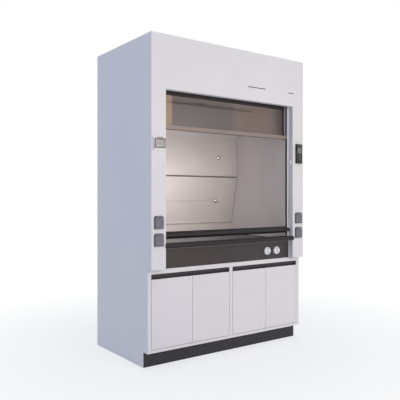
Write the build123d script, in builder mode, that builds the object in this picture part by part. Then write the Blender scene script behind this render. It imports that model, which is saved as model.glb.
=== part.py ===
from build123d import *
import os

os.makedirs("parts", exist_ok=True)

# A laboratory fume hood: an upper casing with a counterbalanced vertical sash over a cupboard base.
# Sizes are in millimetres. X runs to the right, Y into the depth and Z up. The origin is on the
# floor, under the middle of the overall box.

# Casing
casing_width = 1500.0
casing_depth = 850.0
casing_height = 2350.0
fascia_height = 385.0
waist_height = 700.0
post_width = 122.0
sheet = 2.0
flange = 20.0
floor_gap = 3.0
edge_radius = 6.0
fit_gap = 0.5
post_head_gap = 20.0

# Section of the front posts, from the front face back
reveal_depth = 42.0
ramp_depth = 14.0
ramp_inset = 12.0
groove_width = 20.0
groove_depth = 14.0
rib_depth = 15.0

# Sash
glass_thickness = 6.0
glass_seat = 12.0
handle_height = 48.0
handle_reach = 36.0
top_rail_height = 30.0
top_rail_depth = 14.0
top_rail_cover = 14.0
sash_overlap = 27.0
sash_foot_gap = 28.0
sash_head_gap = 6.0
sash_side_gap = 4.0
guide_wall = 2.0

# Fixed pane over the sash
pane_height = 293.0
pane_bar = 10.0
pane_lintel = 35.0

# Counterbalance
cable_radius = 1.5
cable_play = 0.3
pulley_pitch_radius = 25.0
pulley_rim_radius = 30.0
pulley_width = 12.0
pulley_bevel = 1.5
groove_play = 0.5
shaft_radius = 6.0
shaft_end = 8.0
shaft_clearance = 0.05
pulley_drop = 60.0
bearing_thickness = 6.0
bearing_margin = 9.6
bearing_gap = 12.0
counterweight_height = 105.0
counterweight_thickness = 18.0
counterweight_drop = 90.0
weight_guide_sheet = 2.0
weight_guide_width = 20.0
weight_guide_play = 2.0
weight_guide_gap = 4.0
weight_guide_spare = 40.0

# Chamber
liner_thickness = 6.0
ceiling_drop = 360.0
chase_depth = 32.0
worktop_rise = 160.0
worktop_thickness = 32.0
worktop_rim = 26.0
worktop_dish = 6.0

# Baffles
baffle_thickness = 6.0
baffle_stand_off = 100.0
baffle_side_gap = 4.0
baffle_head_drop = 245.0
baffle_slot_rise = 39.0
baffle_slot = 12.0
baffle_foot_rise = 111.0
baffle_foot_stand_off = 8.0
baffle_lip = 9.0
top_baffle_run = 215.0
top_baffle_slot = 18.0
knob_inset = 226.0
knob_drop = 5.0
baffle_knob_radius = 19.0
baffle_knob_length = 16.0
stud_radius = 5.0

# Exhaust duct
duct_radius = 125.0
duct_wall = 2.0
duct_swage = 1.5
duct_stub = 60.0
duct_inset = 123.0
duct_flange = 28.0

# Lamp in the chamber ceiling
lamp_length = 640.0
lamp_width = 110.0
lamp_body_height = 44.0
lamp_flange = 12.0

# Airfoil sill and control panel
airfoil_rise = 20.0
airfoil_height = 34.0
airfoil_nose = 12.0
airfoil_ears = 6.0
airfoil_wall = 3.0
panel_setback = 46.0
panel_top_drop = 47.0
valve_drop = 66.0
valve_inset = 253.0
valve_pitch = 103.0
valve_knob_radius = 32.0
valve_knob_depth = 12.0
valve_grip = 14.0
valve_grip_edge = 1.5
spindle_radius = 5.0
valve_body_radius = 17.0
valve_body_length = 46.0

# Splash-proof sockets on the posts
fitting_inset = 60.0
socket_width = 76.0
socket_height = 92.0
socket_plate = 5.0
socket_depth = 14.0
socket_seat = 2.0
post_joint_rise = 42.0
socket_chamfer = 9.0
socket_box = 56.0
socket_box_depth = 35.0
socket_recess = 40.0
socket_rise = 208.0
socket_pitch = 122.0
socket_recess_drop = 4.0
lid_wall = 2.5
lid_side_margin = 3.0
lid_foot_margin = 2.0
lid_edge_radius = 2.0
lid_top_gap = 1.3
hinge_pin_radius = 1.5
hinge_clearance = 0.05
hinge_barrel_radius = 4.2
hinge_barrel_length = 40.0
hinge_ear = 6.0
hinge_drop = 2.0

# Switch box on the left post
breaker_width = 90.0
breaker_height = 96.0
breaker_depth = 24.0
breaker_drop = 385.0
breaker_body_depth = 14.0
breaker_window = 60.0
breaker_wall = 2.5
lever_length = 12.0
lever_tilt = 25.0
lever_thickness = 5.0
toggle_width = 18.0
toggle_ear = 3.0
toggle_setback = 4.0
toggle_hub_radius = 3.6
cover_reveal = 14.0

# Controller on the right post
controller_width = 63.0
controller_height = 162.0
controller_depth = 19.0
controller_box_depth = 14.0
controller_drop = 395.0
controller_rim = 5.0
display_width = 46.0
display_height = 50.0
display_drop = 30.0
display_recess = 1.2
key_radius = 7.0
key_stroke = 1.5
key_body_depth = 8.0
key_edge = 0.8
key_back_gap = 0.1
key_drop = 101.0
key_pitch = 26.0

# Base cupboards
base_recess = 50.0
toe_recess = 60.0
toe_height = 112.0
stile_width = 30.0
top_rail_drop = 3.0
top_rail_width = 33.0
bottom_rail_width = 21.0
frame_depth = 20.0
door_gap = 3.0
door_thickness = 20.0
door_wall = 1.5
pull_height = 33.0
pull_lip = 15.0
pull_lip_thickness = 2.0
pull_web = 3.0
pull_foot = 2.0
pull_end = 10.0
pivot_inset = 5.0
pivot_radius = 2.5
pivot_clearance = 0.05
pivot_engagement = 14.0
pivot_block = 12.0
washer_gap = 0.3
shelf_height = 400.0
shelf_thickness = 18.0
shelf_setback = 60.0
partition_thickness = 18.0

# Levelling feet
foot_radius = 25.0
foot_thickness = 9.0
foot_stem_radius = 6.0
foot_inset = 60.0
foot_nut_height = 8.0

# Main planes, worked out from the sizes above
opening_width = casing_width - 2 * post_width
front = -(casing_depth - breaker_depth) / 2
back = front + casing_depth
side_inner = casing_width / 2 - sheet
opening_half = opening_width / 2
opening_top = casing_height - fascia_height
fitting_column = casing_width / 2 - fitting_inset
roof_underside = casing_height - sheet
throat = opening_half - ramp_inset
groove_front = front + reveal_depth + ramp_depth
groove_back = groove_front + groove_width
groove_bottom = throat + groove_depth
post_back = groove_back + rib_depth
sash_y = groove_front + groove_width / 2
ceiling_height = casing_height - ceiling_drop
worktop_height = waist_height + worktop_rise
airfoil_top = worktop_height + airfoil_rise
panel_top = airfoil_top - panel_top_drop
pane_bottom = ceiling_height - pane_height
handle_bottom = airfoil_top + sash_foot_gap
handle_top = handle_bottom + handle_height
glass_bottom = handle_bottom + glass_seat
top_rail_top = pane_bottom + sash_overlap
glass_top = top_rail_top - top_rail_cover
sash_half = throat - sash_side_gap
cable_x = throat + (groove_depth - guide_wall) / 2
pulley_height = casing_height - pulley_drop
sash_rise = pulley_height - pulley_rim_radius - sash_head_gap - top_rail_top
front_shaft_y = sash_y + pulley_pitch_radius
chase_front = back - sheet - chase_depth
chase_y = chase_front + chase_depth / 2
rear_shaft_y = chase_y - pulley_pitch_radius
post_top = pulley_height - pulley_rim_radius - post_head_gap
counterweight_top = pulley_height - counterweight_drop
liner_back_y = chase_front - liner_thickness
baffle_y = liner_back_y - baffle_stand_off
base_front = front + base_recess
toe_y = base_front + toe_recess
worktop_underside = worktop_height - worktop_thickness
cabinet_floor = toe_height + bottom_rail_width
cabinet_top = waist_height - top_rail_drop
duct_y = liner_back_y - duct_inset - duct_radius
duct_top = casing_height + duct_stub
duct_body_radius = duct_radius + duct_swage
lamp_y = (post_back + duct_y - duct_radius) / 2
bearing_x = cable_x + pulley_width / 2 + bearing_gap


def slab(x_span, y_span, z_span, mode=Mode.ADD):
    """Adds a square-edged plate or block between two corners to the piece under construction."""
    spans = (x_span, y_span, z_span)
    with Locations(tuple((low + high) / 2 for low, high in spans)):
        Box(*(high - low for low, high in spans), mode=mode)


def shell_side(side):
    """Outer side panel: one sheet, stepped at the base and notched at the toe space."""
    with BuildPart() as panel:
        with BuildSketch(Plane.YZ.offset(side_inner)):
            with BuildLine():
                Polyline(
                    (front, roof_underside),
                    (back - sheet, roof_underside),
                    (back - sheet, floor_gap),
                    (toe_y, floor_gap),
                    (toe_y, toe_height),
                    (base_front, toe_height),
                    (base_front, waist_height),
                    (front, waist_height),
                    close=True,
                )
            make_face()
        extrude(amount=sheet)
        slab((side_inner - flange, side_inner), (post_back + 2 * fit_gap, back - sheet),
             (roof_underside - sheet, roof_underside))
        slab((side_inner - flange, side_inner), (back - 2 * sheet, back - sheet),
             (floor_gap, roof_underside))
        slab((side_inner - flange, side_inner), (toe_y + flange + sheet, back - sheet),
             (floor_gap, floor_gap + sheet))
        if side < 0:
            mirror(about=Plane.YZ, mode=Mode.REPLACE)
    return panel


side_panel_left = shell_side(-1)
side_panel_left.part.label = "side_panel_left"
export_step(side_panel_left.part, "parts/side_panel_left.step")

side_panel_right = shell_side(1)
side_panel_right.part.label = "side_panel_right"
export_step(side_panel_right.part, "parts/side_panel_right.step")

# Fascia: one sheet over the opening, folded back under its lower edge and up behind it
fold_top = opening_top + edge_radius
with BuildPart() as fascia:
    slab((-side_inner, side_inner), (front, front + sheet), (fold_top, roof_underside))
    slab((-side_inner, side_inner), (front, front + flange), (roof_underside - sheet, roof_underside))
    with BuildSketch(Plane.YZ.offset(-opening_half)):
        with BuildLine():
            bottom = opening_top
            lip_top = opening_top + flange
            outer_fold = JernArc((front, fold_top), (0, -1), edge_radius, 90)
            soffit = Polyline(
                outer_fold @ 1,
                (front + reveal_depth, bottom),
                (front + reveal_depth, lip_top),
                (front + reveal_depth - sheet, lip_top),
                (front + reveal_depth - sheet, bottom + sheet),
                (front + edge_radius, bottom + sheet),
            )
            inner_fold = JernArc(soffit @ 1, (-1, 0), edge_radius - sheet, -90)
            Line(inner_fold @ 1, outer_fold @ 0)
        make_face()
    extrude(amount=opening_width)
fascia.part.label = "fascia"
export_step(fascia.part, "parts/fascia.step")


upper_socket_height = waist_height + socket_rise + socket_pitch
lower_socket_height = waist_height + socket_rise
breaker_centre_height = opening_top - breaker_drop
controller_centre_height = opening_top - controller_drop

# Fittings let into the posts: each one has a box behind the front skin, in a cut-out that its front
# covers. A cut-out is given by its width and by how far it reaches below and above a height.
socket_cut = (
    socket_width - 2 * socket_seat,
    socket_height / 2 - socket_seat,
    socket_height / 2 - socket_chamfer - 2 * socket_seat,
)
breaker_half_cut = breaker_window / 2 + breaker_wall + fit_gap
controller_half_cut = controller_height / 2 - controller_rim + fit_gap
post_cuts = {
    "left": [
        (upper_socket_height, *socket_cut),
        (lower_socket_height, *socket_cut),
        (breaker_centre_height, 2 * breaker_half_cut, breaker_half_cut, breaker_half_cut),
    ],
    "right": [
        (upper_socket_height, *socket_cut),
        (lower_socket_height, *socket_cut),
        (controller_centre_height, controller_width - 2 * controller_rim + 2 * fit_gap,
         controller_half_cut, controller_half_cut),
    ],
}


def front_post(side):
    """Folded corner post with the sash groove in its inner face."""
    with BuildPart() as post:
        with BuildSketch(Plane.XY.offset(waist_height)) as section:
            with BuildLine():
                Polyline(
                    (side_inner, front),
                    (opening_half, front),
                    (opening_half, front + reveal_depth),
                    (throat, groove_front),
                    (groove_bottom, groove_front),
                    (groove_bottom, groove_back),
                    (throat, groove_back),
                    (throat, post_back),
                    (side_inner, post_back),
                    close=True,
                )
            make_face()
            nose = section.vertices().sort_by_distance((opening_half, front, waist_height))[0]
            fillet(nose, radius=edge_radius)
            offset(amount=-sheet, kind=Kind.INTERSECTION, mode=Mode.SUBTRACT)
        extrude(amount=post_top - waist_height)
        # The front skin stops where the fascia passes over it
        slab((opening_half - fit_gap, side_inner), (front, front + sheet + fit_gap),
             (fold_top, post_top), mode=Mode.SUBTRACT)
        for height, width, below, above in post_cuts["left" if side < 0 else "right"]:
            slab((fitting_column - width / 2, fitting_column + width / 2), (front, front + sheet),
                 (height - below, height + above), mode=Mode.SUBTRACT)
        if side < 0:
            mirror(about=Plane.YZ, mode=Mode.REPLACE)
    return post


# Each post is two lengths butted end to end: a short one that carries the sockets, a long one above it
post_joint = upper_socket_height + socket_height / 2 + post_joint_rise
for place, side in (("left", -1), ("right", 1)):
    whole_post = front_post(side)
    with BuildPart() as foot_length:
        add(whole_post.part)
        split(bisect_by=Plane.XY.offset(post_joint), keep=Keep.BOTTOM)

    with BuildPart() as head_length:
        add(whole_post.part)
        split(bisect_by=Plane.XY.offset(post_joint), keep=Keep.TOP)

    post_pieces = Compound(label=f"post_{place}", children=[foot_length.part, head_length.part])
    export_step(post_pieces, f"parts/post_{place}.step")

# Roof sheet with the round cut-out for the exhaust duct
with BuildPart() as roof_panel:
    slab((-casing_width / 2, casing_width / 2), (front, back), (roof_underside, casing_height))
    with Locations((0, duct_y, casing_height)):
        Hole(radius=duct_body_radius + fit_gap, depth=sheet)
roof_panel.part.label = "roof_panel"
export_step(roof_panel.part, "parts/roof_panel.step")

# Exhaust duct: from the chamber ceiling through the roof to a flange that rests on it, and above the
# flange a slimmer spigot for the building's duct
with BuildPart() as exhaust_duct:
    with BuildSketch(Plane.XZ.offset(-duct_y)):
        with BuildLine():
            Polyline(
                (duct_radius - duct_wall, ceiling_height),
                (duct_body_radius, ceiling_height),
                (duct_body_radius, casing_height),
                (duct_radius + duct_flange, casing_height),
                (duct_radius + duct_flange, casing_height + sheet),
                (duct_radius, casing_height + sheet),
                (duct_radius, duct_top),
                (duct_radius - duct_wall, duct_top),
                close=True,
            )
        make_face()
    revolve(axis=Axis((0, duct_y, 0), (0, 0, 1)))
exhaust_duct.part.label = "exhaust_duct"
export_step(exhaust_duct.part, "parts/exhaust_duct.step")

# Rear sheet with two welded guide channels for the counterweight
guide_mouth_x = bearing_x + bearing_thickness + weight_guide_gap
guide_bottom = counterweight_top - counterweight_height - sash_rise - weight_guide_spare
with BuildPart() as rear_panel:
    slab((-casing_width / 2, casing_width / 2), (back - sheet, back), (floor_gap, roof_underside))
    with BuildSketch(Plane.XY.offset(guide_bottom)):
        with BuildLine():
            weld_y = back - sheet
            guide_out = guide_mouth_x + weight_guide_width
            guide_in = guide_out - weight_guide_sheet
            weld_out = guide_out + flange / 2
            mouth_half = counterweight_thickness / 2 + weight_guide_play
            wall_half = mouth_half + weight_guide_sheet
            Polyline(
                (guide_mouth_x, chase_y + mouth_half),
                (guide_in, chase_y + mouth_half),
                (guide_in, chase_y - mouth_half),
                (guide_mouth_x, chase_y - mouth_half),
                (guide_mouth_x, chase_y - wall_half),
                (guide_out, chase_y - wall_half),
                (guide_out, weld_y - weight_guide_sheet),
                (weld_out, weld_y - weight_guide_sheet),
                (weld_out, weld_y),
                (guide_in, weld_y),
                (guide_in, chase_y + wall_half),
                (guide_mouth_x, chase_y + wall_half),
                close=True,
            )
        make_face()
        mirror(about=Plane.YZ)
    extrude(amount=post_top - guide_bottom)
rear_panel.part.label = "rear_panel"
export_step(rear_panel.part, "parts/rear_panel.step")

# Chamber lining
with BuildPart() as liner_sides:
    slab((throat, throat + liner_thickness), (post_back, liner_back_y), (worktop_height, ceiling_height))
    mirror(about=Plane.YZ)
liner_sides.part.label = "liner_sides"
export_step(liner_sides.part, "parts/liner_sides.step")

with BuildPart() as liner_back:
    slab((-throat - liner_thickness, throat + liner_thickness), (liner_back_y, chase_front),
         (worktop_height, ceiling_height))
liner_back.part.label = "liner_back"
export_step(liner_back.part, "parts/liner_back.step")

ceiling_top = ceiling_height + liner_thickness
with BuildPart() as chamber_ceiling:
    slab((-throat - liner_thickness, throat + liner_thickness), (post_back, chase_front),
         (ceiling_height, ceiling_top))
    slab((-lamp_length / 2 - fit_gap, lamp_length / 2 + fit_gap),
         (lamp_y - lamp_width / 2 - fit_gap, lamp_y + lamp_width / 2 + fit_gap),
         (ceiling_height, ceiling_top), mode=Mode.SUBTRACT)
    with Locations((0, duct_y, ceiling_top)):
        Hole(radius=duct_body_radius + fit_gap, depth=liner_thickness)
chamber_ceiling.part.label = "chamber_ceiling"
export_step(chamber_ceiling.part, "parts/chamber_ceiling.step")

# Sealed lamp: a diffuser flush with the ceiling under a housing whose flange rests on it
lamp_top = ceiling_top + lamp_body_height
with BuildPart() as chamber_lamp:
    slab((-lamp_length / 2, lamp_length / 2), (lamp_y - lamp_width / 2, lamp_y + lamp_width / 2),
         (ceiling_height, ceiling_top))
    with BuildSketch(Plane.XY.offset(ceiling_top)):
        with Locations((0, lamp_y)):
            Rectangle(lamp_length + 2 * lamp_flange, lamp_width + 2 * lamp_flange)
    extrude(amount=lamp_body_height, taper=12)
chamber_lamp.part.label = "chamber_lamp"
export_step(chamber_lamp.part, "parts/chamber_lamp.step")

# Worktop: a dished slab with a raised rim, narrowed in front to pass between the posts
worktop_front = front + panel_setback + sheet
with BuildPart() as worktop:
    with BuildSketch(Plane.XY.offset(worktop_underside)):
        with BuildLine():
            Polyline(
                (-side_inner, chase_front),
                (side_inner, chase_front),
                (side_inner, post_back),
                (throat - fit_gap, post_back),
                (throat - fit_gap, worktop_front),
                (-throat + fit_gap, worktop_front),
                (-throat + fit_gap, post_back),
                (-side_inner, post_back),
                close=True,
            )
        make_face()
    extrude(amount=worktop_thickness)
    with BuildSketch(Plane.XY.offset(worktop_height)):
        dish_front = post_back + worktop_rim
        dish_back = liner_back_y - worktop_rim
        with Locations((0, (dish_front + dish_back) / 2)):
            RectangleRounded(2 * (throat - worktop_rim), dish_back - dish_front, worktop_rim)
    extrude(amount=-worktop_dish, mode=Mode.SUBTRACT)
worktop.part.label = "worktop"
export_step(worktop.part, "parts/worktop.step")

# Baffles: a sloped top panel, an upright upper panel and a leaning lower panel, with slots between
baffle_half = throat - baffle_side_gap
baffle_foot_height = worktop_height + baffle_foot_rise
baffle_top_height = ceiling_height - baffle_head_drop
baffle_slot_height = (baffle_foot_height + baffle_top_height) / 2 + baffle_slot_rise
slot_bottom = baffle_slot_height - baffle_slot
knob_column = throat - knob_inset
upper_knob_height = (baffle_slot_height + baffle_top_height) / 2 - knob_drop
lower_knob_height = (baffle_foot_height + slot_bottom) / 2 - knob_drop
lower_run = liner_back_y - baffle_foot_stand_off - baffle_thickness - baffle_y
lower_rise = slot_bottom - baffle_foot_height

with BuildPart() as baffle_upper:
    slab((-baffle_half, baffle_half), (baffle_y, baffle_y + baffle_thickness),
         (baffle_slot_height, baffle_top_height))
    slab((-baffle_half, baffle_half), (baffle_y - baffle_lip, baffle_y),
         (baffle_slot_height, baffle_slot_height + baffle_thickness))
    with Locations(Plane.XZ.offset(-baffle_y)):
        with Locations((-knob_column, upper_knob_height), (knob_column, upper_knob_height)):
            Hole(radius=stud_radius + fit_gap, depth=baffle_thickness)
baffle_upper.part.label = "baffle_upper"
export_step(baffle_upper.part, "parts/baffle_upper.step")


def lower_baffle_face(height):
    """The Y of the front of the leaning panel at a height."""
    return baffle_y + lower_run * (slot_bottom - height) / lower_rise


with BuildPart() as baffle_lower:
    with BuildSketch(Plane.YZ.offset(-baffle_half)):
        with BuildLine():
            foot_y = lower_baffle_face(baffle_foot_height)
            Polyline(
                (baffle_y, slot_bottom),
                (baffle_y + baffle_thickness, slot_bottom),
                (foot_y + baffle_thickness, baffle_foot_height),
                (foot_y - baffle_lip, baffle_foot_height),
                (foot_y - baffle_lip, baffle_foot_height + baffle_thickness),
                (lower_baffle_face(baffle_foot_height + baffle_thickness),
                 baffle_foot_height + baffle_thickness),
                close=True,
            )
        make_face()
    extrude(amount=2 * baffle_half)
    with Locations(Plane.XZ.offset(-lower_baffle_face(lower_knob_height) - baffle_thickness)):
        with Locations((-knob_column, lower_knob_height), (knob_column, lower_knob_height)):
            Cylinder(radius=stud_radius + 2 * fit_gap, height=6 * baffle_thickness, mode=Mode.SUBTRACT)
baffle_lower.part.label = "baffle_lower"
export_step(baffle_lower.part, "parts/baffle_lower.step")

top_baffle_end = ceiling_height - top_baffle_slot
with BuildPart() as baffle_top:
    with BuildSketch(Plane.YZ.offset(-baffle_half)):
        with BuildLine():
            Polyline(
                (baffle_y, baffle_top_height),
                (baffle_y + baffle_thickness, baffle_top_height),
                (baffle_y + baffle_thickness, baffle_top_height + baffle_thickness),
                (baffle_y + baffle_thickness - top_baffle_run, top_baffle_end),
                (baffle_y - top_baffle_run, top_baffle_end),
                (baffle_y, baffle_top_height + baffle_thickness),
                close=True,
            )
        make_face()
    extrude(amount=2 * baffle_half)
baffle_top.part.label = "baffle_top"
export_step(baffle_top.part, "parts/baffle_top.step")

# Baffle studs from the rear lining, each ending in a domed knob in front of its panel
with BuildPart() as baffle_knobs:
    for height, face_y in (
        (upper_knob_height, baffle_y - fit_gap),
        (lower_knob_height, lower_baffle_face(lower_knob_height + baffle_knob_radius) - fit_gap),
    ):
        with BuildSketch(Plane.YZ.offset(knob_column)):
            with BuildLine():
                dome = ThreePointArc(
                    (face_y - baffle_knob_length, height),
                    (face_y - 0.8 * baffle_knob_length, height + 0.6 * baffle_knob_radius),
                    (face_y - 0.35 * baffle_knob_length, height + baffle_knob_radius),
                )
                Polyline(
                    dome @ 1,
                    (face_y, height + baffle_knob_radius),
                    (face_y, height + stud_radius),
                    (liner_back_y, height + stud_radius),
                    (liner_back_y, height),
                    dome @ 0,
                )
            make_face()
        revolve(axis=Axis((knob_column, 0, height), (0, 1, 0)))
    mirror(about=Plane.YZ)
baffle_knobs.part.label = "baffle_knobs"
export_step(baffle_knobs.part, "parts/baffle_knobs.step")

# Airfoil sill: a bent plate with a rounded nose that spans the opening
airfoil_bottom = airfoil_top - airfoil_height
airfoil_radius = airfoil_height / 2
airfoil_rear = post_back - rib_depth
with BuildPart() as airfoil:
    with BuildSketch(Plane.YZ.offset(-opening_half - airfoil_ears)):
        with BuildLine():
            nose_y = front - airfoil_nose + airfoil_radius
            under_y = nose_y + airfoil_radius / 2
            outer_top = Line((airfoil_rear, airfoil_top), (nose_y, airfoil_top))
            outer_nose = JernArc(outer_top @ 1, (-1, 0), airfoil_radius, 180)
            outer_under = Line(outer_nose @ 1, (under_y, airfoil_bottom))
            lip = Line(outer_under @ 1, (under_y, airfoil_bottom + airfoil_wall))
            inner_under = Line(lip @ 1, (nose_y, airfoil_bottom + airfoil_wall))
            inner_nose = JernArc(inner_under @ 1, (-1, 0), airfoil_radius - airfoil_wall, -180)
            inner_top = Line(inner_nose @ 1, (airfoil_rear, airfoil_top - airfoil_wall))
            Line(inner_top @ 1, outer_top @ 0)
        make_face()
    extrude(amount=2 * (opening_half + airfoil_ears))
    for end in (-1, 1):
        beside_opening = sorted((end * opening_half, end * (opening_half + airfoil_ears)))
        beside_throat = sorted((end * (throat - fit_gap), end * (opening_half + airfoil_ears)))
        slab(beside_opening, (front, airfoil_rear), (airfoil_bottom, airfoil_top), mode=Mode.SUBTRACT)
        slab(beside_throat, (front + reveal_depth, airfoil_rear), (airfoil_bottom, airfoil_top),
             mode=Mode.SUBTRACT)
airfoil.part.label = "airfoil"
export_step(airfoil.part, "parts/airfoil.step")

# Control panel under the sill, with returns at its top and bottom and holes for the valve spindles
valve_height = panel_top - valve_drop
valve_columns = (opening_half - valve_inset, opening_half - valve_inset + valve_pitch)
panel_y = front + panel_setback
ramp_at_panel = ramp_inset * (panel_setback + sheet - reveal_depth) / ramp_depth
panel_half = opening_half - ramp_at_panel - fit_gap
with BuildPart() as control_panel:
    slab((-panel_half, panel_half), (panel_y, panel_y + sheet), (waist_height, panel_top))
    slab((-throat + fit_gap, throat - fit_gap), (panel_y, panel_y + flange),
         (waist_height, waist_height + sheet))
    with Locations(Plane.XZ.offset(-panel_y)):
        with Locations(*((column, valve_height) for column in valve_columns)):
            Hole(radius=spindle_radius + fit_gap, depth=sheet)
control_panel.part.label = "control_panel"
export_step(control_panel.part, "parts/control_panel.step")

# Valve bodies clamped behind the panel, each with a bonnet nut and a pipe to the side
with BuildPart() as valve_bodies:
    for column in valve_columns:
        with BuildSketch(Plane.XZ.offset(-panel_y - sheet)):
            with Locations((column, valve_height)):
                RegularPolygon(radius=valve_body_radius, side_count=6)
                Circle(radius=spindle_radius + fit_gap, mode=Mode.SUBTRACT)
        extrude(amount=-valve_body_length / 3)
        with BuildSketch(Plane.XZ.offset(-panel_y - sheet - valve_body_length / 3)):
            with Locations((column, valve_height)):
                Circle(radius=0.8 * valve_body_radius)
        extrude(amount=-valve_body_length * 2 / 3)
        with BuildSketch(Plane.XY.offset(valve_height)):
            with Locations((column, panel_y + sheet + valve_body_length * 2 / 3)):
                Circle(radius=spindle_radius + 1)
        extrude(amount=worktop_underside - valve_height)
valve_bodies.part.label = "valve_bodies"
export_step(valve_bodies.part, "parts/valve_bodies.step")


def valve_knob(column):
    """Round knob with an upright grip bar, on a spindle that runs into the valve body."""
    knob_back = panel_y - fit_gap
    with BuildPart() as knob:
        with BuildSketch(Plane.XZ.offset(-knob_back)):
            with Locations((column, valve_height)):
                Circle(radius=valve_knob_radius)
        extrude(amount=valve_knob_depth, taper=8)
        with BuildSketch(Plane.XZ.offset(-knob_back + valve_knob_depth)):
            with Locations((column, valve_height)):
                SlotOverall(1.5 * valve_knob_radius, 0.34 * valve_knob_radius, rotation=90)
        extrude(amount=valve_grip, taper=5)
        chamfer(knob.faces().sort_by(Axis.Y)[0].edges(), length=valve_grip_edge)
        with BuildSketch(Plane.XZ.offset(-knob_back)):
            with Locations((column, valve_height)):
                Circle(radius=spindle_radius)
        extrude(amount=-(valve_body_length / 3 + sheet))
    return knob


valve_knob_left = valve_knob(valve_columns[0])
valve_knob_left.part.label = "valve_knob_left"
export_step(valve_knob_left.part, "parts/valve_knob_left.step")

valve_knob_right = valve_knob(valve_columns[1])
valve_knob_right.part.label = "valve_knob_right"
export_step(valve_knob_right.part, "parts/valve_knob_right.step")

# Fixed pane behind the sash, held by two side bars and a lintel bar
pane_y = post_back + rib_depth / 2
pane_slot = pane_bar / 2
with BuildPart() as fixed_pane:
    slab((-throat + pane_slot, throat - pane_slot),
         (pane_y - glass_thickness / 2, pane_y + glass_thickness / 2),
         (pane_bottom, ceiling_height - pane_lintel / 2))
fixed_pane.part.label = "fixed_pane"
export_step(fixed_pane.part, "parts/fixed_pane.step")

with BuildPart() as pane_frame:
    slab((throat - pane_bar, throat), (post_back, post_back + rib_depth),
         (pane_bottom, ceiling_height - pane_lintel))
    slab((throat - pane_bar, throat - pane_slot),
         (pane_y - glass_thickness / 2, pane_y + glass_thickness / 2),
         (pane_bottom, ceiling_height - pane_lintel), mode=Mode.SUBTRACT)
    mirror(about=Plane.YZ)
    slab((-throat, throat), (post_back, post_back + rib_depth),
         (ceiling_height - pane_lintel, ceiling_height))
    slab((-throat + pane_slot, throat - pane_slot),
         (pane_y - glass_thickness / 2, pane_y + glass_thickness / 2),
         (ceiling_height - pane_lintel, ceiling_height - pane_lintel / 2), mode=Mode.SUBTRACT)
pane_frame.part.label = "pane_frame"
export_step(pane_frame.part, "parts/pane_frame.step")

# Plastic guide channels in the post grooves
with BuildPart() as sash_guides:
    with BuildSketch(Plane.XY.offset(airfoil_top + 1)):
        with BuildLine():
            Polyline(
                (throat, groove_front),
                (groove_bottom, groove_front),
                (groove_bottom, groove_back),
                (throat, groove_back),
                (throat, groove_back - guide_wall),
                (groove_bottom - guide_wall, groove_back - guide_wall),
                (groove_bottom - guide_wall, groove_front + guide_wall),
                (throat, groove_front + guide_wall),
                close=True,
            )
        make_face()
    extrude(amount=post_top - airfoil_top - 1)
    mirror(about=Plane.YZ)
sash_guides.part.label = "sash_guides"
export_step(sash_guides.part, "parts/sash_guides.step")

# Sash: glass whose edges run in the guides, a grip along its foot and a rail along its head
glass_half = cable_x
rail_clip = 3.0
rail_clip_set = 1.0
with BuildPart() as sash_glass:
    slab((-glass_half, glass_half), (sash_y - glass_thickness / 2, sash_y + glass_thickness / 2),
         (glass_bottom, glass_top))
sash_glass.part.label = "sash_glass"
export_step(sash_glass.part, "parts/sash_glass.step")

handle_half = opening_half - fit_gap * 6
with BuildPart() as sash_handle:
    with BuildSketch(Plane.YZ.offset(-handle_half)):
        with BuildLine():
            grip_front = sash_y - handle_reach
            grip_back = sash_y + top_rail_depth / 2
            neck = sash_y - top_rail_depth / 2
            brow = ThreePointArc(
                (neck, handle_top),
                ((neck + grip_front) / 2 - 4, handle_top - 0.2 * handle_height),
                (grip_front + 1, handle_bottom + 0.42 * handle_height),
            )
            tip = ThreePointArc(
                brow @ 1,
                (grip_front, handle_bottom + 0.34 * handle_height),
                (grip_front + 3, handle_bottom + 0.3 * handle_height),
            )
            finger = ThreePointArc(
                tip @ 1,
                ((neck + grip_front) / 2 + 5, handle_bottom + 0.3 * handle_height),
                (neck, handle_bottom),
            )
            Polyline(finger @ 1, (grip_back, handle_bottom), (grip_back, handle_top), brow @ 0)
        make_face()
    extrude(amount=2 * handle_half)
    slab((-handle_half, handle_half), (sash_y - glass_thickness / 2, sash_y + glass_thickness / 2),
         (glass_bottom, handle_top), mode=Mode.SUBTRACT)
    for end in (-1, 1):
        slab(sorted((end * sash_half, end * handle_half)), (front + reveal_depth - fit_gap, grip_back),
             (handle_bottom, handle_top), mode=Mode.SUBTRACT)
sash_handle.part.label = "sash_handle"
export_step(sash_handle.part, "parts/sash_handle.step")

rail_bottom = top_rail_top - top_rail_height
with BuildPart() as sash_top_rail:
    slab((-sash_half, sash_half), (sash_y - top_rail_depth / 2, sash_y + top_rail_depth / 2),
         (rail_bottom, top_rail_top))
    slab((-glass_half - rail_clip, glass_half + rail_clip),
         (sash_y - top_rail_depth / 2 + rail_clip_set, sash_y + top_rail_depth / 2 - rail_clip_set),
         (glass_top, top_rail_top))
    slab((-glass_half, glass_half), (sash_y - glass_thickness / 2, sash_y + glass_thickness / 2),
         (rail_bottom, glass_top), mode=Mode.SUBTRACT)
sash_top_rail.part.label = "sash_top_rail"
export_step(sash_top_rail.part, "parts/sash_top_rail.step")


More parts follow.
